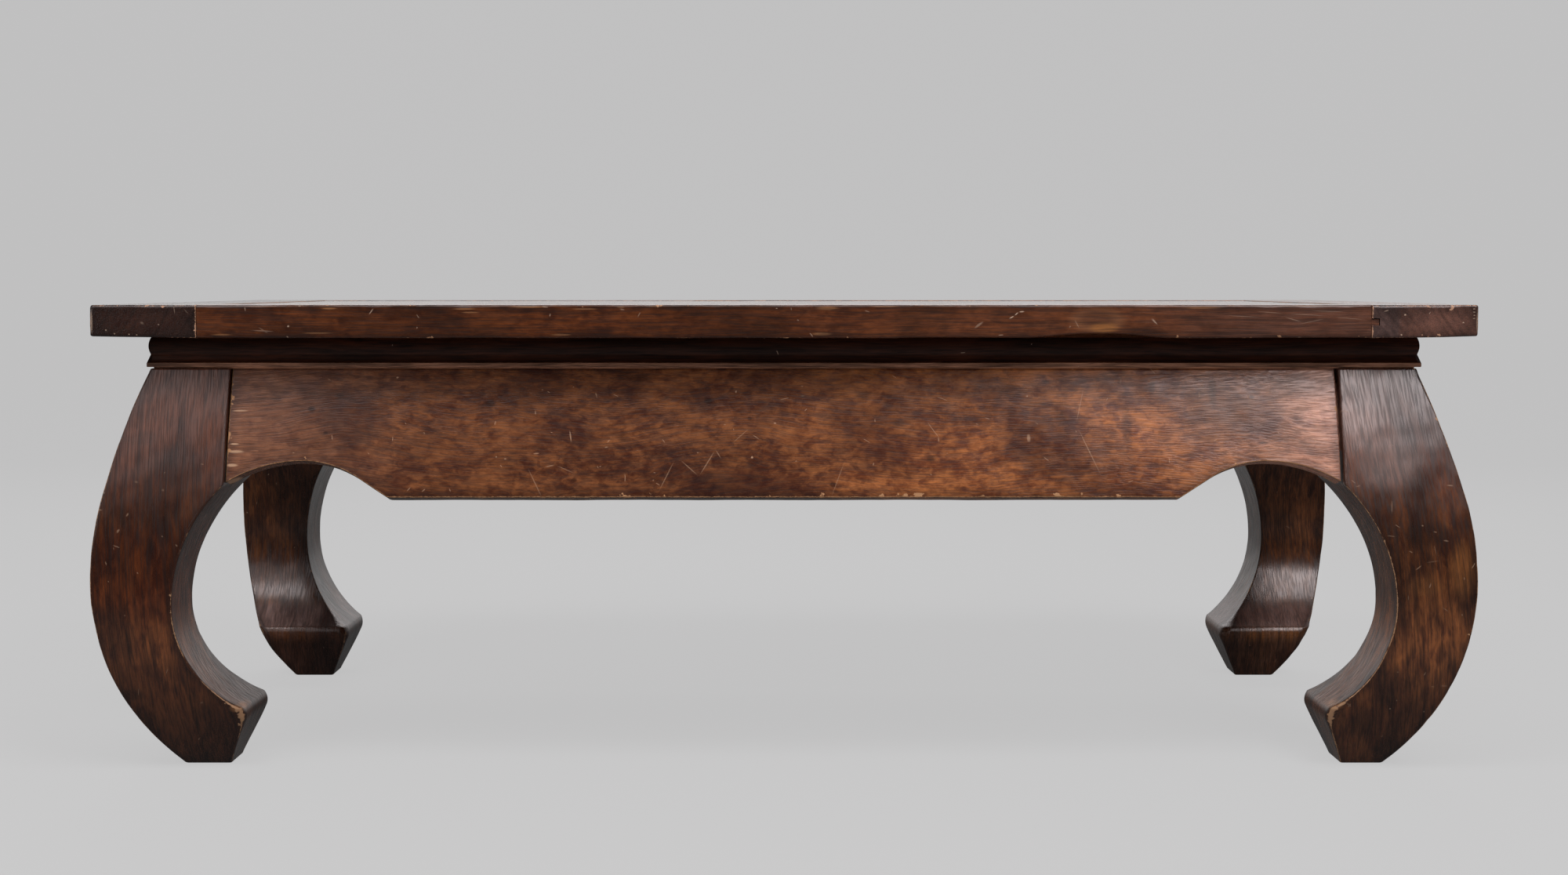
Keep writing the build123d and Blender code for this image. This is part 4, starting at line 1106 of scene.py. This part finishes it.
end_scars = (
    (536.4, 405.4, -14, 1.2, 1.2, 0.9), (533.5, 388.2, -16, 1.1, 1.1, 0.85),
    (586.8, 398.7, -8, 1, 1, 0.95), (-554.5, 398.4, -25, 2.1, 1.8, 0.2),
    (-526.5, 409.9, -82, 4.8, 0.6, 0.3), (-516.3, 408.5, -48, 3.3, 0.5, 0.25),
    (-578.5, 389.2, -7, 0.9, 0.9, 0.6), (-565.9, 388.6, -7, 0.9, 0.9, 0.6),
    (-559.4, 388.2, 0, 0.9, 0.8, 0.5), (596, 410.5, 0, 1.4, 0.6, 0.7), (-598.3, 399.5, 90, 12.5, 1.6, 0.5),
    (598.7, 399.5, 90, 12, 1, 0.45), (596, 407.8, 0, 1.4, 0.6, 0.7), (596.2, 405, 0, 1.2, 0.6, 0.6),
    (596, 402.2, 0, 1.4, 0.6, 0.6),
)
for name, end, seed in (("end_rail_left", -1, 301), ("end_rail_right", 1, 311)):
    near, far = sorted((end * seam_x, end * half_length))
    end_finish = lacquered_wood(
        "end grain " + name, (0, 0, radians(90)), (0.3 * seed, 0.52 * end, 0.35),
        (0.036, 0.014, 0.009, 1), (0.018, 0.006, 0.004, 1), (0.010, 0.005, 0.004, 1), (0.34, 0.18, 0.11, 1),
        rings=(0.0035, 0.02, 0.35), patch_size=0.03, cloud_share=0.6, rub=0.64, rub_width=0.0022, knots=0.2,
        pale_marks=end_scars,
        veils=((0, 0.0, 0.1, (0.125, 0.074, 0.066, 1), 0.6), (0, 0.529, 0.535, (0.15, 0.055, 0.032, 1), 0.5)),
        block=((near, -half_depth, underside), (far, half_depth, table_height)),
    )
    fit_piece(name, [saw_end_rail(end, seed)], end_finish, angle=32)

# ---------------------------------------------------------------------------------------------
# Boards of the top: three lacquered planks, tongued into each other and lipped into the frame,
# half a millimetre below it and free to move.
# ---------------------------------------------------------------------------------------------

board_top = 0.4135
board_width = 2 * rail_inner_y / 3
tongue_bottom, tongue_top = 0.40535, 0.41035
tongue_reach = 0.005
board_easing = 0.0006


def saw_board(low_y, high_y, seed):
    """A board: a block with lips into the frame and a tongue or groove on its joints, its top a
    little hollow across and its top arrises barely eased."""
    first, last = low_y < -board_width, high_y > board_width
    lines = (
        planes(np.linspace(-seam_x, seam_x, 300), both(seam_x + lip)),
        planes(np.linspace(low_y, high_y, 40), low_y + 0.0005, high_y - 0.0005, low_y + tongue_reach,
               high_y + tongue_reach, low_y - lip, high_y + lip),
        planes(groove_bottom, lip_top, board_top - np.array([0, 0.0002, 0.0005]), tongue_bottom, tongue_top),
    )
    wood = cells(lines, (-seam_x, low_y, groove_bottom), (seam_x, high_y, board_top))
    wood |= cells(lines, (-1, low_y - lip * first, groove_bottom), (1, high_y + lip * last, lip_top))
    if not first:
        wood &= ~cells(lines, (-seam_x, low_y, tongue_bottom), (seam_x, low_y + tongue_reach, tongue_top))
    if not last:
        wood |= cells(lines, (-seam_x, high_y, tongue_bottom), (seam_x, high_y + tongue_reach, tongue_top))
    points, faces = joined_block(lines, wood)
    top = share_of(points[:, 2] - board_top + 0.003, 0.003)
    side_gap = np.minimum(points[:, 1] - low_y, high_y - points[:, 1])
    gap = np.clip(np.minimum(side_gap, seam_x - abs(points[:, 0])), 0, board_easing)
    across = (2 * points[:, 1] - low_y - high_y) / board_width
    hollow = 0.00025 * (1 - across**2) + 0.00010 * (1 + waves(points, 0.12, seed))
    points[:, 2] -= top * (eased_end(board_easing, gap) + hollow)
    shrunk = (gap < 1e-5) & (points[:, 2] > tongue_top + 0.00015) & (side_gap < 1e-5)
    points[:, 1] += np.where(shrunk, np.sign(-across) * 0.00025, 0)
    return points, faces, np.full(len(points), 0.02)


for name, place, seed in (("panel_front", -1, 401), ("panel_middle", 0, 411), ("panel_back", 1, 421)):
    low_y, high_y = (place - 0.5) * board_width, (place + 0.5) * board_width
    board_finish = lacquered_wood(
        "board " + name, (0, 0, 0), (0.17 * seed, 0.05 + 0.21 * place, 0.3), (0.130, 0.040, 0.014, 1),
        (0.062, 0.018, 0.007, 1), (0.020, 0.009, 0.006, 1), (0.36, 0.20, 0.11, 1), rings=(0.009, 0.035, 0.5),
        fibres=0.5, patch_size=0.06, patch_length=5.0, cloud_share=0.6, scratches=0.9, rub=0.35, gloss=0.18,
        block=((-seam_x, low_y, 0.2), (seam_x, high_y, board_top)),
    )
    fit_piece(name, [saw_board(low_y, high_y, seed)], board_finish, angle=30)

# ---------------------------------------------------------------------------------------------
# Battens and pegs: bare wood that was never stained. The battens are dovetailed up into the
# boards and tenoned into the long rails; the pegs lock the tenons and are cut flush.
# ---------------------------------------------------------------------------------------------

along_y, along_z = (0, 0, radians(90)), (0, radians(90), 0)
for name, turn in (("batten_left", along_y), ("batten_middle", along_y), ("batten_right", along_y),
                   ("leg_pegs", (0, 0, 0)), ("frame_pegs", along_z)):
    low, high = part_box(name)
    bare_finish = lacquered_wood(
        "bare " + name, turn, (low[0], low[1], 0.2), (0.33, 0.21, 0.12, 1), (0.22, 0.13, 0.07, 1),
        (0.10, 0.06, 0.035, 1), (0.42, 0.30, 0.19, 1), rings=(0.003, 0.01, 0.4), fibres=0.5, patch_length=5.0,
        cloud_share=0.35, gloss=0.62, rub=0.3, block=(low, high),
    )
    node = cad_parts[name]
    node.data.materials.clear()
    node.data.materials.append(bare_finish)
